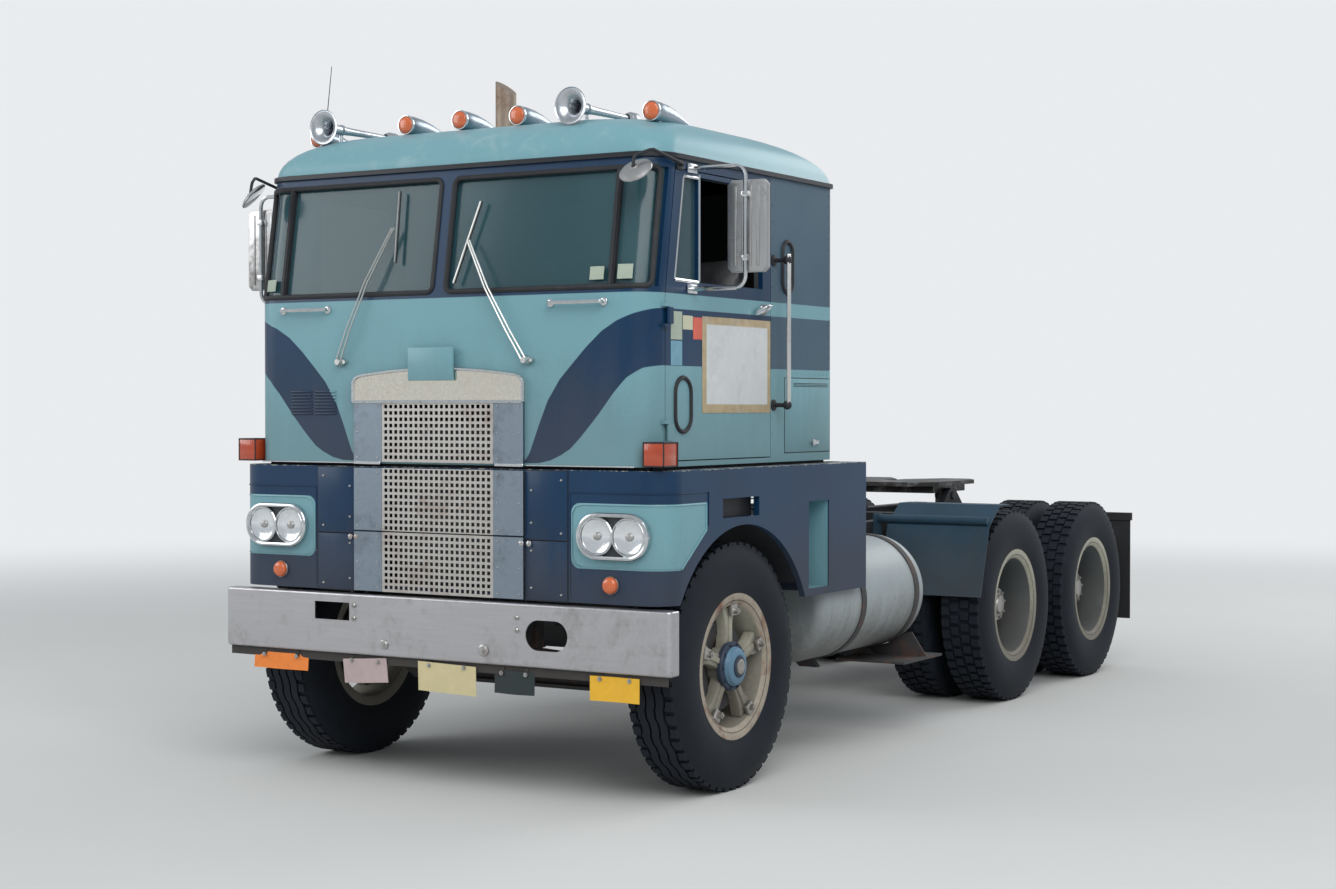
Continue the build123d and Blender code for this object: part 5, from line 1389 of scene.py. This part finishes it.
sideShapes = {
    "lowerHold": (0.328, 1.708, 0.132, 0.232), "upperHold": (1.285, 2.348, 0.097, 0.237), "holdRadius": 0.0098,
    "boss": ((0.0, 0.0), (0.0, 0.026), (0.006, 0.025), (0.012, 0.0205), (0.019, 0.02), (0.019, 0.0)),
    "wing": ((-0.09, -0.027), (0.03, 0.003), (0.054, 0.024), (0.02, 0.026), (-0.082, -0.002)),
    "vent": {"x": 1.081, "front": 0.262, "bar": 0.47, "low": 2.24, "high": 2.686, "lean": 0.0755},
    "latchPlate": ((0.0, 0.0), (0.0, 0.0175), (0.007, 0.0165), (0.01, 0.0155), (0.01, 0.0)),
    "rivets": (  # x, first station and height, step in each, count
        (1.0852, 1.712, 1.47, 0.0, 0.052, 25), (1.0855, 1.34, 1.856, 0.045, 0.0, 9),
        (1.0855, 1.14, 1.5, 0.0, 0.075, 16),
    ),
    "sign": ((0.493, 1.118), (1.672, 2.092)), "handle": (1.045, 2.14), "latch": (1.5415, 1.531),
    "locker": ((1.262, 1.725), (1.487, 1.832)), "lockerVent": (1.346, 1.7, 1.794),
}


def addRingOnSide(bm, centre, size, radius, out=0.002):
    # a closed oval tube that lies on the cab's side
    pairs = ovalOutline(size[0], size[1])
    ring = [at(cabSkin["half"] + out, centre[0] + a, centre[1] + b) for a, b in pairs]
    addTube(bm, ring, radius, 0.0, 12, closed=True)


def makeDoorFittings(side):
    rings, chrome = bmesh.new(), bmesh.new()
    station, z, width, height = sideShapes["lowerHold"]
    addRingOnSide(rings, (station, z), (width, height), sideShapes["holdRadius"])
    # the door handle, a chrome wing on a boss
    station, z = sideShapes["handle"]
    addTurned(chrome, sideShapes["boss"], at(cabSkin["half"], station, z + 0.002), "X", 28, False)
    addPlate(chrome, sideShapes["wing"], at(1.0982, station, z), (0, 1, 0), (0, 0, 1), 0.0125, 0.0035)
    # the vent window's bright frame
    vent = sideShapes["vent"]
    x, front, bar, low, high = (vent[name] for name in ("x", "front", "bar", "low", "high"))
    addTube(chrome, [at(x, front, low), at(x, front + vent["lean"], high), at(x, bar, high)], 0.0075, 0.014, 8)
    addTube(chrome, [at(x, bar, 2.7), at(x, bar, 2.236), at(x, front, low)], 0.0085, 0.014, 8)
    turnOver(side, rings, chrome)
    finishPiece(f"door_{side}_hold_ring", rings, "gasket", f"door_{side}", (), 40)
    finishPiece(f"door_{side}_bright_parts", chrome, "chrome", f"door_{side}", (), 40, 1e-6)


def makeSleeperFittings(side):
    ring, seam, sheet, latch, rivets = (bmesh.new() for _ in range(5))
    station, z, width, height = sideShapes["upperHold"]
    addRingOnSide(ring, (station, z), (width, height), sideShapes["holdRadius"])
    # the locker's door, a thin sheet over a dark strip of painted shade in its seam, and the vent strip over it
    (y0, y1), (z0, z1) = sideShapes["locker"]
    addBlock(seam, (1.0846, 1.0857), (y0 - 0.004, y1 + 0.004), (z0 - 0.004, z1 + 0.004))
    addBlock(sheet, (1.0846, 1.0872), (y0, y1), (z0, z1), 0.001)
    y0, y1, low = sideShapes["lockerVent"]
    # the vent's slots are dark lines of painted shade
    for number in range(3):
        addBlock(seam, (1.086, 1.0885), (y0, y1), (low + number * 0.007, low + 0.003 + number * 0.007), 0.001, 1)
    station, z = sideShapes["latch"]
    addTurned(latch, sideShapes["latchPlate"], at(1.0868, station, z), "X", 24, False)
    addBlock(latch, (1.0935, 1.1045), (station - 0.0225, station + 0.0365), (z - 0.0085, z + 0.0085), 0.002)
    points = [at(x, station + along * number, z + up * number)
              for x, station, z, along, up, count in sideShapes["rivets"] for number in range(count)]
    addRivets(rivets, points, (1, 0, 0), 0.0042, 0.0022, 6)
    turnOver(side, ring, seam, sheet, latch, rivets)
    finishPiece(f"sleeper_{side}_hold_ring", ring, "gasket", "cab", (), 40)
    # painted shade: the dark strips in the locker's seam and in the vent's slots
    finishPiece(f"locker_{side}_seams", seam, "gasket", "cab", (), 40)
    finishPiece(f"locker_{side}_door", sheet, "cab", "cab", (), 40)
    finishPiece(f"locker_{side}_latch", latch, "chrome", "cab", (), 40, 1e-6)
    finishPiece(f"sleeper_{side}_rivets", rivets, "cab", "cab", (), 40)


stickers = (  # name, station and height from and to, finish
    ("sticker_pale_upper", (0.228, 0.322), (1.985, 2.105), "paperPale"),
    ("sticker_pale_lower", (0.228, 0.322), (1.875, 1.98), "paperBlue"),
    ("sticker_cream", (0.328, 0.412), (2.03, 2.09), "paperCream"),
    ("sticker_red", (0.416, 0.5), (1.99, 2.085), "paperRed"),
)
glassStickers = (((0.792, 0.862), (2.236, 2.292)), ((0.93, 1.0), (2.236, 2.298)), ((-1.02, -0.95), (2.236, 2.29)))


def makeSigns():
    # blank sheets: one taped to the driver's door, small squares ahead of it, and squares on the windshield
    bm = bmesh.new()
    addBlock(bm, (1.0851, 1.087), *sideShapes["sign"], 0.0006, 2)
    finishPiece("door_sign_blank", bm, "doorSign", "door_left", (), 60)
    for name, station, z, finish in stickers:
        bm = bmesh.new()
        addBlock(bm, (1.0852, 1.0862), station, z, 0.0003, 1)
        finishPiece(name, bm, finish, "door_left", (), 40)
    bm = bmesh.new()
    for along, z in glassStickers:
        addSkinStrip(bm, along, z, (-0.001, 0.0012), 0.02)
    finishPiece("windshield_blank_stickers", bm, "paperPale", "cab", (), 40)


# the dark sheets of painted shade in the front wheel arches and behind the side vents
archAndVentShade = {
    "radii": (0.643, 0.648), "x": (0.64, 1.15), "arc": 118,
    "ventShade": ((1.118, 1.124), (0.505, 0.865), (1.2, 1.315)),
}


def makeArchAndVentShade():
    # painted shade: a dark liner over each front tyre and dark screens behind the side vents stand in for the shade
    # in the arches and the vents
    dark = bmesh.new()
    addBlock(dark, *archAndVentShade["ventShade"])
    start = set(dark.verts)
    middle = at(0.0, axles["front"], wheelHeight)
    (x0, x1), (low, high) = archAndVentShade["x"], archAndVentShade["radii"]
    addTurned(dark, ((x0, low), (x1, low), (x1, high), (x0, high)), middle, "X", 40,
              arc=math.radians(archAndVentShade["arc"]))
    turnNew(dark, start, middle, Matrix.Rotation(math.radians(-archAndVentShade["arc"] / 2), 3, "X"))
    bmesh.ops.holes_fill(dark, edges=dark.edges[:], sides=4)
    mirrorAcross(dark)
    finishPiece("wheel_arch_and_vent_shade", dark, "frame", "root")


louvre = {"columns": (-0.783, -0.642), "half": 0.062, "slats": 8, "low": 1.664, "pitch": 0.0145}
accessPanel = {
    "x": (0.47, 0.686), "levels": ((1.128, 1.424), (0.868, 1.122)), "seam": 0.004,
    "latches": ((0.5, (1.2, 1.34, 0.92, 1.08)), (0.655, (1.158, 1.385, 0.895))),
    "knobs": ((0.492, 0.0), (0.455, -0.004)), "knobHeight": 1.11,
    "knob": ((0.036, 0.0), (0.036, 0.013), (0.028, 0.013), (0.024, 0.008), (0.024, 0.0)),
}


def makeFrontPanels():
    # pressed slats low in the sweep on the passenger's side, and the access panels beside the lower grille
    slats, gap_shades, panels, latches = (bmesh.new() for _ in range(4))
    for column in louvre["columns"]:
        for number in range(louvre["slats"]):
            z = louvre["low"] + number * louvre["pitch"]
            addBlock(slats, (column - louvre["half"], column + louvre["half"]), (0.034, 0.042), (z, z + 0.007),
                     0.0025)
    (x0, x1), seam = accessPanel["x"], accessPanel["seam"]
    for low, high in accessPanel["levels"]:
        # a dark strip behind each access panel paints the shade in its seam
        addPair(gap_shades, (x0 - seam, x1 + seam), (0.0385, 0.0405), (low - seam, high + seam))
        addPair(panels, (x0, x1), (0.0362, 0.0405), (low, high), 0.0012)
    for side in (-1, 1):
        points = [at(side * x, 0.0365, z) for x, levels in accessPanel["latches"] for z in levels]
        addRivets(latches, points, (0, -1, 0), 0.007, 0.004, 10)
        for x, station in accessPanel["knobs"]:
            addTurned(latches, accessPanel["knob"], at(side * x, station, accessPanel["knobHeight"]), "Y", 20, False)
    finishPiece("front_louvre", slats, "cab", "cab", (), 40)
    finishPiece("front_panel_seams", gap_shades, "gasket", "root", (), 40)
    finishPiece("front_access_panels", panels, "body", "root", (), 40)
    finishPiece("front_panel_latches", latches, "screws", "root", (), 40, 1e-6)


lampLip = {
    "side": ((0.372, 1.287), (0.372, 1.171), (0.165, 1.016), (0.16, 1.016)), "x": 1.177,
    "corner": (1.045, 0.17, 0.132), "turns": (90, 78, 67, 56, 45, 34, 22, 11, 0), "low": 1.016, "height": 0.271,
    "inner": ((0.76, 1.016), (0.722, 1.028), (0.708, 1.06), (0.708, 1.243), (0.722, 1.275), (0.76, 1.287)),
    "radius": 0.0045, "boxTop": 1.334, "boxRadius": 0.003,
}


def makeLampLips():
    # the pressed border round each lamp panel follows the body's front corner
    lips = bmesh.new()
    x, back, radius = lampLip["corner"]
    turns = [math.radians(angle) for angle in lampLip["turns"]]
    low = [at(x + radius * math.sin(turn), back - radius * math.cos(turn), lampLip["low"]) for turn in turns]
    high = [point + Vector((0, 0, lampLip["height"])) for point in low[::-1]]
    border = [at(lampLip["x"], y, z) for y, z in lampLip["side"]] + low
    border += [at(across, 0.038, z) for across, z in lampLip["inner"]] + high
    addTube(lips, border + [border[0]], lampLip["radius"], 0, 8)
    # the edge of the raised box round the lamp panel
    step = [Vector((point.x, point.y, lampLip["boxTop"])) for point in high]
    addTube(lips, [at(0.698, 0.0395, 0.885), at(0.698, 0.0395, lampLip["boxTop"])] + step
            + [at(lampLip["x"], 0.394, 1.336), at(lampLip["x"], 0.394, 1.19)], lampLip["boxRadius"], 0, 8)
    mirrorAcross(lips)
    finishPiece("lamp_panel_lips", lips, "body", "root", (), 40)


sill = {
    "seal": (((1.03, 1.044), (0.15, 1.745), (1.4275, 1.4485)), ((-1.03, 1.03), (0.106, 0.12), (1.42, 1.4465))),
    "rail": (((0.47, 1.02), (0.0355, 0.0405), (1.4435, 1.4495), 0.001, 1),
             ((0.315, 0.466), (0.022, 0.027), (1.44, 1.454), 0.002, 1)),
}


def makeSill():
    # the dark seal between the cab and the body it rests on, and the light rail over it
    seal, rail = bmesh.new(), bmesh.new()
    addPair(seal, *sill["seal"][0])
    addBlock(seal, *sill["seal"][1])
    for bar in sill["rail"]:
        addPair(rail, *bar)
    finishPiece("cab_sill_seal", seal, "gasket", "root")
    finishPiece("cab_sill_rail", rail, "chrome", "cab", (), 40)


grabPole = {
    "station": 1.15, "z": (1.695, 2.4), "x": (1.1605, 1.1705), "half": 0.015, "ball": 0.021, "wall": 1.0853,
    "foot": ((0.0, 0.0), (0.0, 0.026), (0.006, 0.025), (0.01, 0.014), (0.01, 0.0)),
}


def makeGrabPoles():
    # the flat grab pole behind each door, on dark balls
    poles, mounts = bmesh.new(), bmesh.new()
    station, (low, high), half, wall = grabPole["station"], grabPole["z"], grabPole["half"], grabPole["wall"]
    addBlock(poles, grabPole["x"], (station - half, station + half), (low, high), 0.004, 3)
    for z in (low + 0.012, high - 0.028):
        addRod(mounts, at(wall, station, z), at(1.16, station, z), 0.01, 16)
        bmesh.ops.create_uvsphere(mounts, u_segments=20, v_segments=12, radius=grabPole["ball"],
                                  matrix=Matrix.Translation(at(1.158, station, z)))
        addTurned(mounts, grabPole["foot"], at(wall, station, z), "X", 24, False)
    mirrorAcross(poles)
    mirrorAcross(mounts)
    finishPiece("side_grab_poles", poles, "wiperMetal", "cab", ["grab_rails"], 40)
    finishPiece("side_grab_pole_mounts", mounts, "gasket", "cab", (), 40, 1e-6)


grabBar = {
    "spans": ((-0.889, -0.625), (0.602, 0.872)), "z": 2.142, "skin": 0.041, "out": 0.008, "radius": 0.0088,
    "foot": ((0.04, 0.0), (0.04, 0.019), (0.034, 0.018), (0.03, 0.012), (0.03, 0.0)),
}


def makeGrabBars():
    bars = bmesh.new()
    skin, out, z = grabBar["skin"], grabBar["out"], grabBar["z"]
    for x0, x1 in grabBar["spans"]:
        addTube(bars, [at(x0, skin, z), at(x0, out, z), at(x1, out, z), at(x1, skin, z)], grabBar["radius"], 0.015)
        for x in (x0, x1):
            addTurned(bars, grabBar["foot"], at(x, 0.0, z), "Y", 20, False)
    finishPiece("front_grab_bars", bars, "chrome", "cab", (), 40, 1e-6)


# Interior

def addCushion(bm, x, station, z, crown=0.03, panels=3):
    # a crowned pad with sewn channels across it
    low, lifted = addSlab(bm, 18, 18)
    raised = set(lifted)
    for vert in low + lifted:
        u, v = vert.co.x * 2, vert.co.y * 2
        edge = (1 - abs(u) ** 4) * (1 - abs(v) ** 4)
        channel = 0.012 * (abs(math.sin(math.pi * panels * (u + 1) / 2)) ** 0.35)
        top = z[1] - 0.03 * (1 - edge) + crown * 0.3 * edge + channel * edge - 0.02
        pull = 1 - 0.03 * (1 - abs(u)) * abs(v) ** 6
        vert.co = at((x[0] + x[1]) / 2 + u * (x[1] - x[0]) / 2 * pull,
                     (station[0] + station[1]) / 2 + v * (station[1] - station[0]) / 2 * pull,
                     top if vert in raised else z[0])
    return low + lifted


seat = {"middle": 0.74, "floor": 1.48, "base": 0.25, "cushion": (0.235, (0.49, 0.97)),
        "back": (0.225, (0.49, 1.05)), "backShift": (0, 0.44, 0.1), "backTilt": 78}
bunk = {"x": 0.995, "station": (1.135, 1.712), "z": (1.765, 1.885), "boxInner": 0.436, "boxBack": 1.7,
        "boxTop": 1.764}


def makeInterior():
    floor, low = seat["floor"], seat["floor"] + seat["base"]
    bases, mattress, boxes = (bmesh.new() for _ in range(3))
    addPair(bases, (seat["middle"] - 0.18, seat["middle"] + 0.18), (0.56, 0.9), (floor, low), 0.01)
    finishPiece("seat_bases", bases, "frame", "cab", ["seats"])
    for side, word in ((-1, "right"), (1, "left")):
        middle = side * seat["middle"]
        half, stations = seat["cushion"]
        bm = bmesh.new()
        addCushion(bm, (middle - half, middle + half), stations, (low, floor + 0.38))
        piece = finishPiece(f"seat_{word}_cushion", bm, "vinyl", "cab", (), 60)
        half, stations = seat["back"]
        bm = bmesh.new()
        made = addCushion(bm, (middle - half, middle + half), stations, (low, floor + 0.36))
        hinge = at(middle, 0.97, floor + 0.38)
        bmesh.ops.translate(bm, vec=Vector(seat["backShift"]), verts=made)
        bmesh.ops.rotate(bm, cent=hinge, matrix=Matrix.Rotation(math.radians(seat["backTilt"]), 3, "X"), verts=made)
        piece = finishPiece(f"seat_{word}_back", bm, "vinyl", "cab", (), 60)
    addCushion(mattress, (-bunk["x"], bunk["x"]), bunk["station"], bunk["z"], 0.04, 9)
    piece = finishPiece("bunk_mattress", mattress, "ticking", "cab", (), 60)
    addPair(boxes, (bunk["boxInner"], bunk["x"]), (bunk["station"][0], bunk["boxBack"]), (floor, bunk["boxTop"]),
            0.004)
    finishPiece("bunk_boxes", boxes, "trim", "cab")


steering = {
    "foot": (0.6, 0.235, 1.96), "lean": (0, 0.423, 0.906), "reach": 0.33, "radius": 0.255, "grip": 0.013,
    "hub": ((-0.03, 0.0), (-0.03, 0.04), (0.0, 0.048), (0.014, 0.04), (0.018, 0.0)), "spokes": 3,
    "gauges": (0.47, 0.535, 0.6, 0.665, 0.73), "gaugeHeight": 2.022,
    "gauge": ((0.2465, 0.0), (0.2465, 0.024), (0.243, 0.027), (0.25, 0.028)),
}


def makeSteeringWheel():
    rim, column, gauges = bmesh.new(), bmesh.new(), bmesh.new()
    lean, origin = Vector(steering["lean"]).normalized(), Vector((0, 0, 0))
    foot = at(*steering["foot"])
    hub = foot + lean * steering["reach"]
    grip, angles = steering["grip"], [math.pi * number / 5 for number in range(10)]
    section = [(grip * math.cos(angle), steering["radius"] + grip * math.sin(angle)) for angle in angles]
    addTurned(rim, section, origin, "Z", 56)
    for number in range(steering["spokes"]):
        angle = math.radians(90 + 120 * number)
        end = Vector((0.245 * math.cos(angle), 0.245 * math.sin(angle), 0.0))
        addRod(rim, Vector((0, 0, -0.012)), end, 0.008, 8)
    addTurned(rim, steering["hub"], origin, "Z", 32, False)
    made = turnNew(rim, set(), origin, lean.to_track_quat("Z", "X").to_matrix())
    bmesh.ops.translate(rim, vec=hub, verts=made)
    addRod(column, foot - lean * 0.03, hub, 0.026, 20)
    addBlock(column, (0.44, 0.76), (0.25, 0.262), (1.985, 2.062), 0.006)
    for x in steering["gauges"]:
        addTurned(gauges, steering["gauge"], at(x, 0.0, steering["gaugeHeight"]), "Y", 24, False)
    finishPiece("steering_wheel", rim, "wheelRim", "cab", (), 50, 1e-5)
    finishPiece("steering_column", column, "trim", "cab")
    finishPiece("dash_gauges", gauges, "chrome", "cab", (), 40, 1e-6)


# Finishes, and the CAD nodes that keep their shape

finishes = {
    "cab": cabPaint(), "body": bodyPaint(), "roof": roofPaint(),
    "bumper": brightMetal("bumper_brushed_metal", linear["aluminium"], 0.3, (0.06, 1, 1), 0.35),
    # the polished header's cream tint is a painted reflection of pale surroundings on the metal
    "polished": brightMetal("polished_header_metal", (0.88, 0.82, 0.7), 0.05, (1, 1, 1), 0.16, "rust", 0.1, 1.0, 0.1),
    "grille": brightMetal("grille_aluminium", (0.52, 0.5, 0.47), 0.34, (1, 1, 1), 0.45, "rust", 0.2),
    "stripMetal": brightMetal("strip_aluminium", (0.25, 0.3, 0.35), 0.32, (1, 1, 1), 0.45, "frameBlack", 0.2),
    "chrome": brightMetal("worn_chrome", (0.6, 0.62, 0.63), 0.11, (1, 1, 1), 0.24, "dirt", 0.3, 1.0, 0.5),
    "lampPlate": softRubber("headlamp_plate", (0.03, 0.034, 0.04), 0.4, 40.0),
    "reflector": brightMetal("lamp_reflector", (0.82, 0.84, 0.86), 0.1, (1, 1, 1), 0.1, "dirt", 0.1, 1.0, 0.2),
    "hornMetal": brightMetal("horn_metal", (0.5, 0.53, 0.56), 0.2, (1, 1, 1), 0.35),
    "wiperMetal": brightMetal("wiper_metal", (0.62, 0.62, 0.6), 0.25, (1, 1, 1), 0.3),
    "mirrorBack": brightMetal("mirror_back_metal", (0.44, 0.44, 0.44), 0.3, (1, 1, 0.05), 0.75),
    "mirrorFace": brightMetal("mirror_glass", (0.72, 0.76, 0.78), 0.04, (1, 1, 1), 0.05, "dirt", 0.1, 1.0, 0.1),
    "screws": brightMetal("small_screws", (0.48, 0.48, 0.47), 0.3, (1, 1, 1), 0.4, "rust"),
    "wheelNuts": brightMetal("wheel_nut_metal", (0.42, 0.41, 0.39), 0.38, (1, 1, 1), 0.5, "rust"),
    "tank": plainPaint("tank_white_paint", (0.3, 0.335, 0.345), 0.42, 0.75, 0.7, (1.0, 0.35), 0.12),
    "castCream": plainPaint("wheel_cream_paint", (0.4, 0.385, 0.31), 0.5, 0.7, 1.6, (1.2, 0.2)),
    "driveCream": plainPaint("drive_wheel_paint", (0.09, 0.104, 0.11), 0.55, 0.5, 1.2, (1.2, 0.2), 0.35),
    "rimRust": castMetal("rim_flange_rusty", (0.34, 0.29, 0.23), "rust", 0.85, 0.5, 0.1),
    "hubBlue": plainPaint("hub_pale_blue_paint", (0.105, 0.215, 0.32), 0.4, 0.3, 0.4, (1.0, 0.2)),
    "lampShell": brightMetal("lamp_shell_metal", (0.36, 0.42, 0.47), 0.26, (1, 0.1, 1), 0.35),
    "frame": plainPaint("frame_black_paint", linear["frameBlack"], 0.5, 0.45, 0.5, (1.3, 0.3)),
    "fenderBlue": plainPaint("quarter_fender_paint", (0.02, 0.052, 0.082), 0.48, 0.4, 0.9, (1.3, 0.6), 0.4),
    "castDark": castMetal("dark_castings", (0.05, 0.05, 0.052)),
    "engine": castMetal("engine_grey", (0.075, 0.085, 0.088), "dirt", 0.6),
    "springs": castMetal("spring_steel", (0.04, 0.038, 0.038), "rust", 0.45),
    "greased": castMetal("greased_plate", (0.045, 0.042, 0.04), "steel", 0.5, 0.34, 0.7),
    "pipe": brightMetal("exhaust_pipe_metal", (0.3, 0.24, 0.19), 0.48, (1, 1, 0.2), 0.7, "rust", 0.5, 0.7),
    "gasket": softRubber("gasket_rubber"), "flap": softRubber("flap_rubber", (0.014, 0.014, 0.015), 0.65, 30.0),
    "trim": softRubber("cab_trim", (0.02, 0.023, 0.026), 0.6, 45.0),
    "wheelRim": softRubber("steering_rim", (0.22, 0.21, 0.18), 0.35, 20.0),
    "tyreFront": tyreRubber("front_tyre_rubber", axles["front"], 0.45),
    "tyreMid": tyreRubber("middle_tyre_rubber", axles["mid"], 0.6),
    "tyreRear": tyreRubber("rear_tyre_rubber", axles["rear"], 0.6),
    "windshield": glassMaterial("windshield_glass", (0.026, 0.075, 0.09), 0.76, 0.13),
    "sideGlass": glassMaterial("side_glass", (0.04, 0.085, 0.105), 0.62, 0.1),
    "lensClear": glassMaterial("clear_lens", (0.6, 0.64, 0.66), 0.1, 0.04),
    "amber": lampLens("amber_lens", linear["amber"]), "deepAmber": lampLens("deep_amber_lens", linear["deepAmber"]),
    "red": lampLens("red_lens", linear["red"]),
    "plateOrange": sheetPaper("plate_orange", (0.78, 0.22, 0.04)),
    "platePale": sheetPaper("plate_pale", (0.46, 0.36, 0.36)),
    "plateYellowOld": sheetPaper("plate_old_yellow", (0.6, 0.52, 0.3)),
    "plateBlack": sheetPaper("plate_black", (0.02, 0.03, 0.03)),
    "plateYellow": sheetPaper("plate_yellow", (0.75, 0.42, 0.03)),
    "doorSign": sheetPaper("door_sign_paper", (0.58, 0.6, 0.6), (0.42, 0.33, 0.2), (0.53, 1.71), (1.088, 2.058)),
    "paperPale": sheetPaper("sticker_pale", (0.36, 0.42, 0.34)),
    "paperBlue": sheetPaper("sticker_blue", (0.16, 0.33, 0.42)),
    "paperCream": sheetPaper("sticker_cream", (0.52, 0.52, 0.38)),
    "paperRed": sheetPaper("sticker_red", (0.62, 0.13, 0.09)),
    "vinyl": vinylSkin("seat_vinyl", (0.035, 0.036, 0.04)),
    "ticking": wovenCloth("bunk_ticking", (0.25, 0.26, 0.27), (0.36, 0.35, 0.32)),
}

nodeFinish = {
    "frame": ("frame_rails", "crossmembers", "cab_supports", "bumper_bar", "fifth_wheel_base"),
    "flap": ("mud_flaps",), "springs": ("leaf_springs",),
    "castDark": ("tank_brackets", "front_axle", "drive_axles", "knuckle_left", "knuckle_right", "tie_rod"),
    "greased": ("fifth_wheel_plate",), "stripMetal": ("deck_plate",), "engine": ("engine_block", "drive_shafts"),
    "bumper": ("front_bumper",), "body": ("front_apron", "fenders"), "tank": ("fuel_tanks",),
    "fenderBlue": ("quarter_fenders",), "pipe": ("exhaust_stack",), "trim": ("cab_floor", "dash"),
    "cab": ("cab_front", "cab_sides", "cab_back", "door_left", "door_right"),
    "windshield": ("windshield_glass",), "sideGlass": ("door_glass_left", "door_glass_right"),
}
for finish, names in nodeFinish.items():
    for name in names:
        nodes[name].data.materials.clear()
        nodes[name].data.materials.append(finishes[finish])
print("finishes made")

for side in ("left", "right"):
    makeFrontWheel(side)
    for row in ("mid", "rear"):
        makeDriveWheel(row, side)
print("wheels and tyres made")
makeGrille()
makeBumperFittings()
makeHeadlamps()
makeSmallLamps()
makeRoofLamps()
makeHorns()
makeRoof()
makeGaskets()
makeWipers()
print("front made")
makeMirrors()
makeSpotMirrors()
for side in ("left", "right"):
    makeDoorFittings(side)
    makeSleeperFittings(side)
makeSigns()
makeArchAndVentShade()
makeFrontPanels()
makeLampLips()
makeSill()
makeGrabPoles()
makeGrabBars()
makeInterior()
makeSteeringWheel()
print("cab fittings made")
